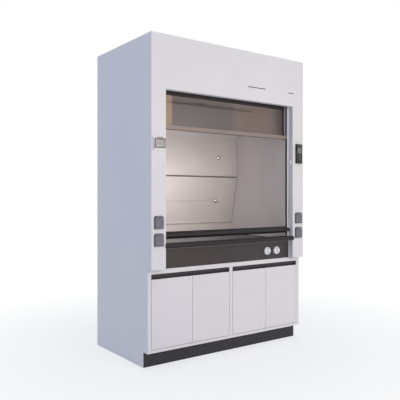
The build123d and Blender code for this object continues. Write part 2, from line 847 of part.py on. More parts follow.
# Counterbalance: two cables run over pulleys on a front and a rear cross shaft to one weight bar
def pulley_shaft(shaft_y):
    """Cross shaft with a grooved pulley near each end."""
    shaft_half = bearing_x + bearing_thickness + shaft_end
    rim = pulley_width / 2
    groove_floor = pulley_pitch_radius - cable_radius - cable_play
    with BuildPart() as shaft:
        with BuildSketch(Plane.XY.offset(pulley_height)):
            with BuildLine():
                Polyline(
                    (0, shaft_y),
                    (0, shaft_y + shaft_radius),
                    (cable_x - rim, shaft_y + shaft_radius),
                    (cable_x - rim, shaft_y + pulley_rim_radius),
                    (cable_x - rim + pulley_bevel, shaft_y + pulley_rim_radius),
                    (cable_x - cable_radius - groove_play, shaft_y + groove_floor),
                    (cable_x + cable_radius + groove_play, shaft_y + groove_floor),
                    (cable_x + rim - pulley_bevel, shaft_y + pulley_rim_radius),
                    (cable_x + rim, shaft_y + pulley_rim_radius),
                    (cable_x + rim, shaft_y + shaft_radius),
                    (shaft_half, shaft_y + shaft_radius),
                    (shaft_half, shaft_y),
                    close=True,
                )
            make_face()
        revolve(axis=Axis((0, shaft_y, pulley_height), (1, 0, 0)))
        mirror(about=Plane.YZ)
    return shaft


front_pulley_shaft = pulley_shaft(front_shaft_y)
front_pulley_shaft.part.label = "front_pulley_shaft"
export_step(front_pulley_shaft.part, "parts/front_pulley_shaft.step")

rear_pulley_shaft = pulley_shaft(rear_shaft_y)
rear_pulley_shaft.part.label = "rear_pulley_shaft"
export_step(rear_pulley_shaft.part, "parts/rear_pulley_shaft.step")

# Bearing plates that hang from the roof
bearing_half = shaft_radius + bearing_margin
with BuildPart() as shaft_bearings:
    for shaft_y in (front_shaft_y, rear_shaft_y):
        with BuildSketch(Plane.YZ.offset(bearing_x)):
            with BuildLine():
                Polyline(
                    (shaft_y - bearing_half, pulley_height),
                    (shaft_y - bearing_half, roof_underside),
                    (shaft_y + bearing_half, roof_underside),
                    (shaft_y + bearing_half, pulley_height),
                )
                ThreePointArc(
                    (shaft_y + bearing_half, pulley_height),
                    (shaft_y, pulley_height - bearing_half),
                    (shaft_y - bearing_half, pulley_height),
                )
            make_face()
            with Locations((shaft_y, pulley_height)):
                Circle(radius=shaft_radius + shaft_clearance, mode=Mode.SUBTRACT)
        extrude(amount=bearing_thickness)
        slab((bearing_x, bearing_x + flange), (shaft_y - bearing_half, shaft_y + bearing_half),
             (roof_underside - sheet, roof_underside))
    mirror(about=Plane.YZ)
shaft_bearings.part.label = "shaft_bearings"
export_step(shaft_bearings.part, "parts/shaft_bearings.step")

with BuildPart() as counterweight:
    weight_half = guide_in - weight_guide_play
    slab((-weight_half, weight_half),
         (chase_y - counterweight_thickness / 2, chase_y + counterweight_thickness / 2),
         (counterweight_top - counterweight_height, counterweight_top))
counterweight.part.label = "counterweight"
export_step(counterweight.part, "parts/counterweight.step")

with BuildPart() as upper_cables:
    with BuildLine(Plane.YZ.offset(cable_x)):
        over_front = JernArc((sash_y, pulley_height), (0, 1), pulley_pitch_radius, -90)
        across = Line(over_front @ 1, (rear_shaft_y, pulley_height + pulley_pitch_radius))
        JernArc(across @ 1, (1, 0), pulley_pitch_radius, -90)
    with BuildSketch(Plane.XY.offset(pulley_height)):
        with Locations((cable_x, sash_y)):
            Circle(radius=cable_radius)
    sweep()
    mirror(about=Plane.YZ)
upper_cables.part.label = "upper_cables"
export_step(upper_cables.part, "parts/upper_cables.step")


def cable_drop(cable_y, lower_end):
    """Straight hanging lengths of both cables, from the pulleys down."""
    with BuildPart() as cables:
        with BuildSketch(Plane.XY.offset(lower_end)):
            with Locations((-cable_x, cable_y), (cable_x, cable_y)):
                Circle(radius=cable_radius)
        extrude(amount=pulley_height - lower_end)
    return cables


front_cables = cable_drop(sash_y, top_rail_top)
front_cables.part.label = "front_cables"
export_step(front_cables.part, "parts/front_cables.step")

rear_cables = cable_drop(chase_y, counterweight_top)
rear_cables.part.label = "rear_cables"
export_step(rear_cables.part, "parts/rear_cables.step")


# Flap hinge shared by the socket lids and the switch box cover: a pin between two ears
def hinge_ears(column, axis_y, axis_z, face_y):
    """Two ears on the fixed face with the hinge pin between them."""
    ear_x = hinge_barrel_length / 2 + fit_gap
    for end in (-1, 1):
        inner = column + end * ear_x
        outer = column + end * (ear_x + hinge_ear)
        slab(sorted((inner, outer)), (axis_y, face_y),
             (axis_z - hinge_barrel_radius, axis_z + hinge_barrel_radius))
        with Locations(((inner + outer) / 2, axis_y, axis_z)):
            Cylinder(radius=hinge_barrel_radius, height=hinge_ear, rotation=(0, 90, 0))
    with Locations((column, axis_y, axis_z)):
        Cylinder(radius=hinge_pin_radius, height=2 * ear_x, rotation=(0, 90, 0))


def flap(column, top, bottom, width, outer_y, inner_y, axis_y, axis_z):
    """Hollow flap with a hinge barrel along its top edge."""
    with BuildPart() as lid:
        slab((column - width / 2, column + width / 2), (outer_y, inner_y), (bottom, top))
        fillet(lid.faces().sort_by(Axis.Y)[0].edges(), radius=lid_edge_radius)
        slab((column - width / 2 + lid_wall, column + width / 2 - lid_wall),
             (outer_y + lid_wall, inner_y), (bottom + lid_wall, top - lid_wall), mode=Mode.SUBTRACT)
        with BuildSketch(Plane.YZ.offset(column - hinge_barrel_length / 2)):
            with Locations((axis_y, axis_z)):
                Circle(radius=hinge_barrel_radius)
            with Locations((axis_y, (axis_z + top - lid_wall) / 2)):
                Rectangle(hinge_barrel_radius, axis_z - top + lid_wall)
            with Locations((axis_y, axis_z)):
                Circle(radius=hinge_pin_radius + hinge_clearance, mode=Mode.SUBTRACT)
        extrude(amount=hinge_barrel_length)
    return lid


socket_face = front - socket_plate
socket_hinge_y = (front - socket_depth + socket_face - fit_gap) / 2
socket_axis_drop = hinge_barrel_radius + hinge_drop
lid_top_drop = socket_axis_drop + hinge_barrel_radius + lid_top_gap

socket_places = {
    "left_upper": (-fitting_column, upper_socket_height),
    "left_lower": (-fitting_column, lower_socket_height),
    "right_upper": (fitting_column, upper_socket_height),
    "right_lower": (fitting_column, lower_socket_height),
}

with BuildPart() as socket_frames:
    for column, height in socket_places.values():
        top = height + socket_height / 2
        with BuildSketch(Plane.XZ.offset(-front)):
            with Locations((column, height)):
                plate = Rectangle(socket_width, socket_height)
            chamfer(plate.vertices().group_by(Axis.Z)[-1], length=socket_chamfer)
        extrude(amount=socket_plate)
        slab((column - socket_box / 2, column + socket_box / 2), (front, front + socket_box_depth),
             (height - socket_box / 2, height + socket_box / 2))
        recess_height = height - socket_recess_drop
        slab((column - socket_recess / 2, column + socket_recess / 2),
             (socket_face, front + socket_box_depth / 2),
             (recess_height - socket_recess / 2, recess_height + socket_recess / 2), mode=Mode.SUBTRACT)
        hinge_ears(column, socket_hinge_y, top - socket_axis_drop, socket_face)
socket_frames.part.label = "socket_frames"
export_step(socket_frames.part, "parts/socket_frames.step")

for place, (column, height) in socket_places.items():
    top = height + socket_height / 2
    socket_lid = flap(
        column, top - lid_top_drop, height - socket_height / 2 + lid_foot_margin,
        socket_width - 2 * lid_side_margin, front - socket_depth, socket_face - fit_gap,
        socket_hinge_y, top - socket_axis_drop,
    )
    socket_lid.part.label = f"socket_lid_{place}"
    export_step(socket_lid.part, f"parts/socket_lid_{place}.step")

# Switch box: a white body with a window, a toggle inside it and a clear hinged cover
breaker_face = front - breaker_body_depth
breaker_top = breaker_centre_height + breaker_height / 2
cover_bottom = breaker_top - breaker_height + cover_reveal
toggle_half = toggle_width / 2
toggle_axis_y = front - toggle_setback
with BuildPart() as breaker_box:
    slab((-fitting_column - breaker_width / 2, -fitting_column + breaker_width / 2),
         (breaker_face, front), (breaker_top - breaker_height, breaker_top))
    fillet(breaker_box.edges().filter_by(Axis.Y), radius=4)
    rear_half = breaker_window / 2 + breaker_wall
    slab((-fitting_column - rear_half, -fitting_column + rear_half),
         (front, front + socket_box_depth),
         (breaker_centre_height - rear_half, breaker_centre_height + rear_half))
    slab((-fitting_column - breaker_window / 2, -fitting_column + breaker_window / 2),
         (breaker_face, front), (breaker_centre_height - breaker_window / 2,
                                 breaker_centre_height + breaker_window / 2), mode=Mode.SUBTRACT)
    cover_hinge_y = (front - breaker_depth + breaker_face - fit_gap) / 2
    cover_axis_z = breaker_top - socket_axis_drop
    hinge_ears(-fitting_column, cover_hinge_y, cover_axis_z, breaker_face)
    for end in (-1, 1):
        inner = -fitting_column + end * (toggle_half + fit_gap)
        slab(sorted((inner, inner + end * toggle_ear)), (toggle_axis_y - toggle_setback, front),
             (breaker_centre_height - lever_thickness, breaker_centre_height + lever_thickness))
    with BuildSketch(Plane.YZ.offset(-fitting_column - toggle_half - fit_gap)):
        with Locations((toggle_axis_y, breaker_centre_height)):
            Circle(radius=hinge_pin_radius)
    extrude(amount=2 * (toggle_half + fit_gap))
breaker_box.part.label = "breaker_box"
export_step(breaker_box.part, "parts/breaker_box.step")

breaker_cover = flap(
    -fitting_column, breaker_top - lid_top_drop, cover_bottom,
    breaker_width - 2 * lid_side_margin, front - breaker_depth, breaker_face - fit_gap,
    cover_hinge_y, cover_axis_z,
)
breaker_cover.part.label = "breaker_cover"
export_step(breaker_cover.part, "parts/breaker_cover.step")

with BuildPart() as breaker_lever:
    with BuildSketch(Plane.YZ.offset(-fitting_column - toggle_half)):
        with Locations((toggle_axis_y, breaker_centre_height)):
            Circle(radius=toggle_hub_radius)
            Rectangle(lever_thickness, lever_length, rotation=90 - lever_tilt, align=(Align.CENTER, Align.MIN))
            Circle(radius=hinge_pin_radius + hinge_clearance, mode=Mode.SUBTRACT)
    extrude(amount=2 * toggle_half)
breaker_lever.part.label = "breaker_lever"
export_step(breaker_lever.part, "parts/breaker_lever.step")

# Controller: a raised case with a display recess and two sprung keys
controller_face = front - controller_depth
controller_top = controller_centre_height + controller_height / 2
key_heights = {
    "upper": controller_top - key_drop,
    "lower": controller_top - key_drop - key_pitch,
}
with BuildPart() as controller_case:
    slab((fitting_column - controller_width / 2, fitting_column + controller_width / 2),
         (controller_face, front), (controller_top - controller_height, controller_top))
    fillet(controller_case.faces().sort_by(Axis.Y)[0].edges(), radius=1.5)
    slab((fitting_column - controller_width / 2 + controller_rim,
          fitting_column + controller_width / 2 - controller_rim),
         (front, front + controller_box_depth),
         (controller_top - controller_height + controller_rim, controller_top - controller_rim))
    with BuildSketch(Plane.XZ.offset(-controller_face)):
        with Locations((fitting_column, controller_top - display_drop - display_height / 2)):
            RectangleRounded(display_width, display_height, 2)
    extrude(amount=-display_recess, mode=Mode.SUBTRACT)
    with BuildSketch(Plane.XZ.offset(-controller_face)):
        with Locations(*((fitting_column, height) for height in key_heights.values())):
            Circle(radius=key_radius + fit_gap)
    extrude(amount=-key_body_depth - key_stroke, mode=Mode.SUBTRACT)
controller_case.part.label = "controller_case"
export_step(controller_case.part, "parts/controller_case.step")

for place, height in key_heights.items():
    with BuildPart() as controller_key:
        with BuildSketch(Plane.XZ.offset(-controller_face - key_body_depth + key_back_gap)):
            with Locations((fitting_column, height)):
                Circle(radius=key_radius)
        extrude(amount=key_body_depth + key_stroke)
        chamfer(controller_key.faces().sort_by(Axis.Y)[0].edges(), length=key_edge)
    controller_key.part.label = f"controller_key_{place}"
    export_step(controller_key.part, f"parts/controller_key_{place}.step")

# Base: a white face frame of five bars
stile_inner = side_inner - stile_width + sheet
frame_back = base_front + frame_depth
rail_underside = cabinet_top - top_rail_width
with BuildPart() as base_frame:
    slab((-side_inner, side_inner), (base_front, frame_back), (rail_underside, cabinet_top))
    slab((-side_inner, side_inner), (base_front, frame_back), (toe_height, cabinet_floor))
    slab((-stile_width / 2, stile_width / 2), (base_front, frame_back), (cabinet_floor, rail_underside))
    slab((stile_inner, side_inner), (base_front, frame_back), (cabinet_floor, rail_underside))
    slab((-side_inner, -stile_inner), (base_front, frame_back), (cabinet_floor, rail_underside))
base_frame.part.label = "base_frame"
export_step(base_frame.part, "parts/base_frame.step")

# Cupboard shell behind the frame: side walls up to the worktop, partition, floor, back and deck
shell_back = chase_front
with BuildPart() as cabinet_shell:
    for wall in ((stile_inner, stile_inner + sheet), (-stile_inner - sheet, -stile_inner)):
        slab(wall, (frame_back, shell_back), (toe_height, cabinet_top))
        slab(wall, (post_back, shell_back), (cabinet_top, worktop_underside))
    slab((-stile_inner, stile_inner), (frame_back, shell_back), (cabinet_floor - sheet, cabinet_floor))
    slab((-stile_inner, stile_inner), (shell_back - sheet, shell_back), (cabinet_floor, cabinet_top - sheet))
    slab((-stile_inner, stile_inner), (frame_back, shell_back), (cabinet_top - sheet, cabinet_top))
    slab((-partition_thickness / 2, partition_thickness / 2), (frame_back, shell_back - sheet),
         (cabinet_floor, cabinet_top - sheet))
cabinet_shell.part.label = "cabinet_shell"
export_step(cabinet_shell.part, "parts/cabinet_shell.step")

with BuildPart() as shelves:
    slab((partition_thickness / 2 + fit_gap, stile_inner - fit_gap),
         (frame_back + shelf_setback, shell_back - sheet - fit_gap),
         (shelf_height, shelf_height + shelf_thickness))
    mirror(about=Plane.YZ)
shelves.part.label = "shelves"
export_step(shelves.part, "parts/shelves.step")

# Doors: four leaves set into the frame, each with a dark finger pull along its head. A pull is an open
# channel with a strip along its front for a lip.
door_half_width = (stile_inner - stile_width / 2) / 2
door_width = door_half_width - 1.5 * door_gap
door_bottom = cabinet_floor + door_gap
door_head = rail_underside - door_gap
door_top = door_head - pull_height
door_places = {
    "far_left": (-stile_inner + door_gap, 1),
    "mid_left": (-stile_width / 2 - door_gap, -1),
    "mid_right": (stile_width / 2 + door_gap, 1),
    "far_right": (stile_inner - door_gap, -1),
}
pivot_y = base_front + pivot_inset
channel_front = base_front + pull_lip_thickness
channel_back = base_front + door_thickness

for place, (hinge_edge, away) in door_places.items():
    free_edge = hinge_edge + away * door_width
    leaf = sorted((hinge_edge, free_edge))
    pivot_x = hinge_edge + away * pivot_inset

    with BuildPart() as door:
        slab(leaf, (base_front, base_front + door_thickness), (door_bottom, door_top))
        slab((leaf[0] + door_wall, leaf[1] - door_wall),
             (base_front + door_wall, base_front + door_thickness - door_wall),
             (door_bottom, door_top), mode=Mode.SUBTRACT)
        corner_end = hinge_edge + away * pivot_block
        slab(sorted((hinge_edge + away * door_wall / 2, corner_end)),
             (base_front + door_wall / 2, base_front + door_thickness - door_wall / 2),
             (door_bottom, door_bottom + pivot_engagement + 4))
        with Locations(Plane((pivot_x, pivot_y, door_bottom), z_dir=(0, 0, -1))):
            Hole(radius=pivot_radius + pivot_clearance, depth=pivot_engagement)
    door.part.label = f"door_{place}"
    export_step(door.part, f"parts/door_{place}.step")

    with BuildPart() as pull:
        with BuildSketch(Plane.YZ.offset(leaf[0])):
            with BuildLine():
                Polyline(
                    (channel_front, door_top),
                    (channel_back, door_top),
                    (channel_back, door_head),
                    (channel_front, door_head),
                    (channel_front, door_head - pull_lip_thickness),
                    (channel_back - pull_web, door_head - pull_lip_thickness),
                    (channel_back - pull_web, door_top + pull_foot),
                    (channel_front, door_top + pull_foot),
                    close=True,
                )
            make_face()
        extrude(amount=door_width)
        slab((leaf[0], leaf[0] + pull_end), (channel_front, channel_back), (door_top, door_head))
        slab((leaf[1] - pull_end, leaf[1]), (channel_front, channel_back), (door_top, door_head))
        with Locations((pivot_x, pivot_y, door_head)):
            Hole(radius=pivot_radius + pivot_clearance, depth=pull_height)

    with BuildPart() as lip_strip:
        slab(leaf, (base_front, channel_front), (door_head - pull_lip, door_head))
    pull_pieces = Compound(label=f"pull_{place}", children=[pull.part, lip_strip.part])
    export_step(pull_pieces, f"parts/pull_{place}.step")

# Pivot pins: a plain pin from the top rail and a pin with a thrust washer on the bottom rail
with BuildPart() as door_pivots:
    for hinge_edge, away in door_places.values():
        pivot_x = hinge_edge + away * pivot_inset
        with BuildSketch(Plane.XY.offset(rail_underside)):
            with Locations((pivot_x, pivot_y)):
                Circle(radius=pivot_radius)
        extrude(amount=-door_gap - pivot_engagement)
        with BuildSketch(Plane.XY.offset(cabinet_floor)):
            with Locations((pivot_x, pivot_y)):
                Circle(radius=pivot_radius)
        extrude(amount=door_gap + pivot_engagement - 1)
        with BuildSketch(Plane.XY.offset(cabinet_floor)):
            with Locations((pivot_x, pivot_y)):
                Circle(radius=pivot_inset - 0.2)
        extrude(amount=door_gap - washer_gap)
door_pivots.part.label = "door_pivots"
export_step(door_pivots.part, "parts/door_pivots.step")

# Toe kick with a return along its top
with BuildPart() as toe_kick:
    slab((-side_inner, side_inner), (toe_y, toe_y + sheet), (floor_gap, toe_height))
    slab((-stile_inner, stile_inner), (toe_y, toe_y + flange), (toe_height - sheet, toe_height))
toe_kick.part.label = "toe_kick"
export_step(toe_kick.part, "parts/toe_kick.step")

# Levelling feet under the cupboard floor
with BuildPart() as levelling_feet:
    foot_rows = (toe_y + foot_inset, shell_back - foot_inset)
    foot_x = stile_inner - foot_inset
    stem_top = cabinet_floor - sheet
    for foot_column in (-foot_x, 0, foot_x):
        for foot_row in foot_rows:
            with BuildSketch(Plane.YZ.offset(foot_column)):
                with BuildLine():
                    Polyline(
                        (foot_row, 0),
                        (foot_row + foot_radius, 0),
                        (foot_row + foot_radius, foot_thickness / 3),
                        (foot_row + 2 * foot_stem_radius, foot_thickness),
                        (foot_row + foot_stem_radius, foot_thickness),
                        (foot_row + foot_stem_radius, stem_top - foot_nut_height),
                        (foot_row + 2 * foot_stem_radius, stem_top - foot_nut_height),
                        (foot_row + 2 * foot_stem_radius, stem_top),
                        (foot_row, stem_top),
                        close=True,
                    )
                make_face()
            revolve(axis=Axis((foot_column, foot_row, 0), (0, 0, 1)))
levelling_feet.part.label = "levelling_feet"
export_step(levelling_feet.part, "parts/levelling_feet.step")
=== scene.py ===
import math

import bmesh
import bpy
from mathutils import Matrix, Vector


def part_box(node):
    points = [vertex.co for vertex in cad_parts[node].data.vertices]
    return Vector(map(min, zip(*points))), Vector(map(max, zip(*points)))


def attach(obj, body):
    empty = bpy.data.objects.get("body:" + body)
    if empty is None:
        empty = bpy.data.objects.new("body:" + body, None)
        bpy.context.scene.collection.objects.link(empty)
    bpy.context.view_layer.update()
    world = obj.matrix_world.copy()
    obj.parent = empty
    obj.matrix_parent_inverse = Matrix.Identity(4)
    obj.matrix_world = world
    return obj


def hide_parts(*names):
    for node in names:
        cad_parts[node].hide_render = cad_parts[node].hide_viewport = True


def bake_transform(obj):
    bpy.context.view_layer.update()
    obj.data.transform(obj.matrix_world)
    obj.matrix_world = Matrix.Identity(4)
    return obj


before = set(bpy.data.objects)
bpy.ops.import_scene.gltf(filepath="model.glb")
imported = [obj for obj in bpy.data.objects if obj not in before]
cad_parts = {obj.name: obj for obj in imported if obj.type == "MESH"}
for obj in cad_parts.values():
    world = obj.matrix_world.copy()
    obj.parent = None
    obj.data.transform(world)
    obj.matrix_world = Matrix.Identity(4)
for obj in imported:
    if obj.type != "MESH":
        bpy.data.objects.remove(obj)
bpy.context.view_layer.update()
print("frame loaded:", len(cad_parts), "nodes")


# Camera, at the photograph's viewing angle
cameraSetup = {
    "place": (-2.66787, -3.60918, 1.21113),
    "turn": -36.124,
    "lens": 48.586,
    "shiftY": -0.0088,
}


def makeCamera():
    data = bpy.data.cameras.new("camera")
    data.lens = cameraSetup["lens"]
    data.sensor_width = 36.0
    data.shift_y = cameraSetup["shiftY"]
    data.clip_start = 0.05
    data.clip_end = 100.0
    camera = bpy.data.objects.new("camera", data)
    camera.location = cameraSetup["place"]
    camera.rotation_euler = (math.radians(90.0), 0.0, math.radians(cameraSetup["turn"]))
    bpy.context.scene.collection.objects.link(camera)
    bpy.context.scene.camera = camera


makeCamera()


# Node helpers
def addNode(tree, kind, **sockets):
    node = tree.nodes.new(kind)
    for name, value in sockets.items():
        node.inputs[name].default_value = value
    return node


def plainMaterial(name, color, roughness, metallic=0.0, specular=0.5, alpha=1.0):
    material = bpy.data.materials.new(name)
    material.use_nodes = True
    shader = material.node_tree.nodes["Principled BSDF"]
    shader.inputs["Base Color"].default_value = (*color, 1.0)
    shader.inputs["Roughness"].default_value = roughness
    shader.inputs["Metallic"].default_value = metallic
    shader.inputs["Specular IOR Level"].default_value = specular
    shader.inputs["Alpha"].default_value = alpha
    return material, material.node_tree, shader


def mappedCoords(tree, stretch=(1.0, 1.0, 1.0)):
    coords = tree.nodes.new("ShaderNodeTexCoord")
    mapping = tree.nodes.new("ShaderNodeMapping")
    mapping.inputs["Scale"].default_value = stretch
    tree.links.new(coords.outputs["Object"], mapping.inputs["Vector"])
    return mapping.outputs["Vector"]


def noiseOf(tree, vector, scale, detail=3.0, roughness=0.5):
    noise = addNode(tree, "ShaderNodeTexNoise", Scale=scale, Detail=detail, Roughness=roughness)
    tree.links.new(vector, noise.inputs["Vector"])
    return noise.outputs["Fac"]


def rampOf(tree, fac, stops):
    ramp = tree.nodes.new("ShaderNodeValToRGB")
    elements = ramp.color_ramp.elements
    while len(elements) < len(stops):
        elements.new(0.5)
    for element, (place, color) in zip(elements, stops):
        element.position = place
        element.color = (*color, 1.0)
    tree.links.new(fac, ramp.inputs["Fac"])
    return ramp.outputs["Color"]


def rangeOf(tree, fac, low, high, fromLow=0.3, fromHigh=0.7):
    spread = addNode(tree, "ShaderNodeMapRange", **{"From Min": fromLow, "From Max": fromHigh,
                                                    "To Min": low, "To Max": high})
    tree.links.new(fac, spread.inputs["Value"])
    return spread.outputs["Result"]


def bumpInto(tree, shader, height, strength, distance):
    bump = addNode(tree, "ShaderNodeBump", Strength=strength, Distance=distance)
    tree.links.new(height, bump.inputs["Height"])
    tree.links.new(bump.outputs["Normal"], shader.inputs["Normal"])


def shade(color, factor):
    return tuple(min(1.0, channel * factor) for channel in color)


# Finishes. Each takes the values of one finish and returns a material.
def powderCoat(name, color, roughness=0.42, peel=0.12, drift=0.03, specular=0.45):
    material, tree, shader = plainMaterial(name, color, roughness, specular=specular)
    vector = mappedCoords(tree)
    wide = noiseOf(tree, vector, 1.7, detail=2.0)
    tree.links.new(rampOf(tree, wide, [(0.25, shade(color, 1.0 - drift)), (0.75, shade(color, 1.0 + drift))]),
                   shader.inputs["Base Color"])
    fine = noiseOf(tree, vector, 520.0, detail=2.0)
    tree.links.new(rangeOf(tree, fine, roughness - 0.05, roughness + 0.06), shader.inputs["Roughness"])
    bumpInto(tree, shader, fine, peel, 0.0004)
    return material


def laminate(name, color, roughness=0.34, drift=0.035):
    material, tree, shader = plainMaterial(name, color, roughness, specular=0.5)
    vector = mappedCoords(tree)
    cloud = noiseOf(tree, vector, 3.2, detail=5.0)
    speck = noiseOf(tree, vector, 260.0, detail=3.0)
    mixed = tree.nodes.new("ShaderNodeMix")
    mixed.inputs["Factor"].default_value = 0.35
    tree.links.new(cloud, mixed.inputs["A"])
    tree.links.new(speck, mixed.inputs["B"])
    tree.links.new(rampOf(tree, mixed.outputs["Result"],
                          [(0.3, shade(color, 1.0 - drift)), (0.7, shade(color, 1.0 + drift))]),
                   shader.inputs["Base Color"])
    tree.links.new(rangeOf(tree, cloud, roughness - 0.06, roughness + 0.08), shader.inputs["Roughness"])
    bumpInto(tree, shader, speck, 0.04, 0.0003)
    return material


def castResin(name, color, roughness=0.45):
    material, tree, shader = plainMaterial(name, color, roughness)
    vector = mappedCoords(tree)
    grain = noiseOf(tree, vector, 420.0, detail=4.0, roughness=0.7)
    stops = [(0.32, shade(color, 0.72)), (0.5, color), (0.68, shade(color, 1.35))]
    tree.links.new(rampOf(tree, grain, stops), shader.inputs["Base Color"])
    wide = noiseOf(tree, vector, 6.0)
    tree.links.new(rangeOf(tree, wide, roughness - 0.08, roughness + 0.1), shader.inputs["Roughness"])
    bumpInto(tree, shader, grain, 0.15, 0.0003)
    return material


def drawnMetal(name, color, roughness=0.35, metallic=0.6, stretch=(0.6, 60.0, 60.0), contrast=0.18,
               specular=0.5):
    material, tree, shader = plainMaterial(name, color, roughness, metallic=metallic, specular=specular)
    vector = mappedCoords(tree, stretch)
    streak = noiseOf(tree, vector, 9.0, detail=6.0, roughness=0.7)
    stops = [(0.3, shade(color, 1.0 - contrast)), (0.7, shade(color, 1.0 + contrast))]
    tree.links.new(rampOf(tree, streak, stops), shader.inputs["Base Color"])
    tree.links.new(rangeOf(tree, streak, roughness - 0.07, roughness + 0.08), shader.inputs["Roughness"])
    bumpInto(tree, shader, streak, 0.06, 0.0003)
    return material


def galvanised(name, color, roughness=0.42):
    material, tree, shader = plainMaterial(name, color, roughness, metallic=0.85)
    vector = mappedCoords(tree)
    spangle = addNode(tree, "ShaderNodeTexVoronoi", Scale=85.0)
    tree.links.new(vector, spangle.inputs["Vector"])
    stops = [(0.2, shade(color, 0.93)), (0.8, shade(color, 1.06))]
    tree.links.new(rampOf(tree, spangle.outputs["Color"], stops), shader.inputs["Base Color"])
    cloud = noiseOf(tree, vector, 5.0, detail=4.0)
    tree.links.new(rangeOf(tree, cloud, roughness - 0.08, roughness + 0.12), shader.inputs["Roughness"])
    bumpInto(tree, shader, cloud, 0.05, 0.0005)
    return material


def moulded(name, color, roughness=0.4, grain=0.15, drift=0.04, alpha=1.0, specular=0.5):
    material, tree, shader = plainMaterial(name, color, roughness, alpha=alpha, specular=specular)
    vector = mappedCoords(tree)
    cloud = noiseOf(tree, vector, 24.0, detail=3.0)
    tree.links.new(rampOf(tree, cloud, [(0.3, shade(color, 1.0 - drift)), (0.7, shade(color, 1.0 + drift))]),
                   shader.inputs["Base Color"])
    spark = noiseOf(tree, vector, 900.0, detail=2.0)
    tree.links.new(rangeOf(tree, spark, roughness - 0.05, roughness + 0.07), shader.inputs["Roughness"])
    bumpInto(tree, shader, spark, grain, 0.0002)
    return material


def glazing(name, color, alpha, roughness=0.02):
    material, tree, shader = plainMaterial(name, color, roughness, alpha=alpha, specular=0.8)
    vector = mappedCoords(tree)
    film = noiseOf(tree, vector, 2.2, detail=4.0)
    tree.links.new(rampOf(tree, film, [(0.3, shade(color, 0.94)), (0.7, shade(color, 1.06))]),
                   shader.inputs["Base Color"])
    tree.links.new(rangeOf(tree, film, roughness, roughness + 0.03), shader.inputs["Roughness"])
    return material


# Glazing with colour bands along its X axis: the warm and dark stripes are painted reflections on the pane,
# not a tint of the glass.
def paintedReflectionGlazing(name, alpha, reflectionBands, soft=0.004, roughness=0.02):
    material, tree, shader = plainMaterial(name, reflectionBands[0][1], roughness, alpha=alpha, specular=0.8)
    coords = tree.nodes.new("ShaderNodeTexCoord")
    parts = tree.nodes.new("ShaderNodeSeparateXYZ")
    tree.links.new(coords.outputs["Object"], parts.inputs["Vector"])
    along = addNode(tree, "ShaderNodeMapRange", **{"From Min": -1.0, "From Max": 1.0})
    tree.links.new(parts.outputs["X"], along.inputs["Value"])
    stops = [(0.0, reflectionBands[0][1])]
    for (end, color), (nextEnd, nextColor) in zip(reflectionBands, reflectionBands[1:]):
        stops += [((end - soft + 1.0) / 2, color), ((end + soft + 1.0) / 2, nextColor)]
    tree.links.new(rampOf(tree, along.outputs["Result"], stops), shader.inputs["Base Color"])
    film = noiseOf(tree, mappedCoords(tree), 2.2, detail=4.0)
    tree.links.new(rangeOf(tree, film, roughness, roughness + 0.03), shader.inputs["Roughness"])
    return material


finishes = {
    "white": powderCoat("whiteCoat", (0.815, 0.808, 0.825)),
    "galvanised": galvanised("galvanisedSheet", (0.56, 0.57, 0.58)),
    "lining": laminate("chamberLining", (0.76, 0.72, 0.70)),
    "resin": castResin("worktopResin", (0.14, 0.14, 0.147)),
    "darkCoat": powderCoat("darkCoat", (0.046, 0.036, 0.039), roughness=0.4, drift=0.08, specular=0.38),
    "sillCoat": powderCoat("sillCoat", (0.026, 0.018, 0.026), roughness=0.42, drift=0.08, specular=0.26),
    "plinthCoat": powderCoat("plinthCoat", (0.024, 0.023, 0.028), roughness=0.45, drift=0.08, specular=0.4),
    "darkRail": drawnMetal("darkRail", (0.020, 0.017, 0.020), roughness=0.36, metallic=0.0, specular=0.28),
    "paleRail": drawnMetal("paleRail", (0.27, 0.22, 0.205), roughness=0.42, metallic=0.2),
    "glass": glazing("sashGlazing", (0.34, 0.28, 0.25), 0.09),
    # Fixed pane: the warm and dark bands along it are painted reflections.
    "fixedPanePaintedReflection": paintedReflectionGlazing("fixedGlazingPaintedReflection", 0.45,
                                [(-0.517, (0.56, 0.37, 0.16)), (0.061, (0.11, 0.075, 0.065)),
                                 (0.483, (0.22, 0.135, 0.10)), (0.62, (0.10, 0.07, 0.065))]),
    "blackPlastic": moulded("blackPlastic", (0.02, 0.02, 0.023), roughness=0.45),
    "ballast": powderCoat("ballastPrimer", (0.16, 0.16, 0.17), roughness=0.55),
    "steel": drawnMetal("brightSteel", (0.62, 0.62, 0.63), roughness=0.28, metallic=1.0),
    "brass": drawnMetal("machinedBrass", (0.62, 0.45, 0.2), roughness=0.3, metallic=1.0),
    "whitePlastic": moulded("whitePlastic", (0.90, 0.90, 0.905), roughness=0.3, grain=0.05),
    "socketGrey": moulded("socketGrey", (0.16, 0.16, 0.19), roughness=0.42),
    "smoked": moulded("smokedCover", (0.66, 0.62, 0.60), roughness=0.1, grain=0.01, alpha=0.42, specular=0.7),
    "controllerGrey": moulded("controllerGrey", (0.030, 0.030, 0.031), roughness=0.5, specular=0.35),
    "opal": moulded("opalLens", (0.85, 0.85, 0.82), roughness=0.35, grain=0.02),
    "chrome": drawnMetal("chromeKnob", (0.72, 0.72, 0.73), roughness=0.12, metallic=1.0, contrast=0.04),
    "inkGrey": moulded("printedGrey", (0.03, 0.028, 0.032), roughness=0.5, grain=0.02),
    "capGrey": moulded("capGrey", (0.60, 0.60, 0.61), roughness=0.4, grain=0.05),
    "surroundGrey": moulded("surroundGrey", (0.20, 0.19, 0.185), roughness=0.35, grain=0.05),
    "displayGlass": moulded("displayGlass", (0.17, 0.17, 0.18), roughness=0.12, grain=0.01, specular=0.6),
    "readoutPale": moulded("readoutPale", (0.36, 0.37, 0.38), roughness=0.35, grain=0.01),
    "paintedReflectionBlue": moulded("headPlatePaintedReflection", (0.040, 0.046, 0.053), roughness=0.3, grain=0.03),
    "rubber": moulded("sealRubber", (0.018, 0.017, 0.018), roughness=0.62, grain=0.1),
}

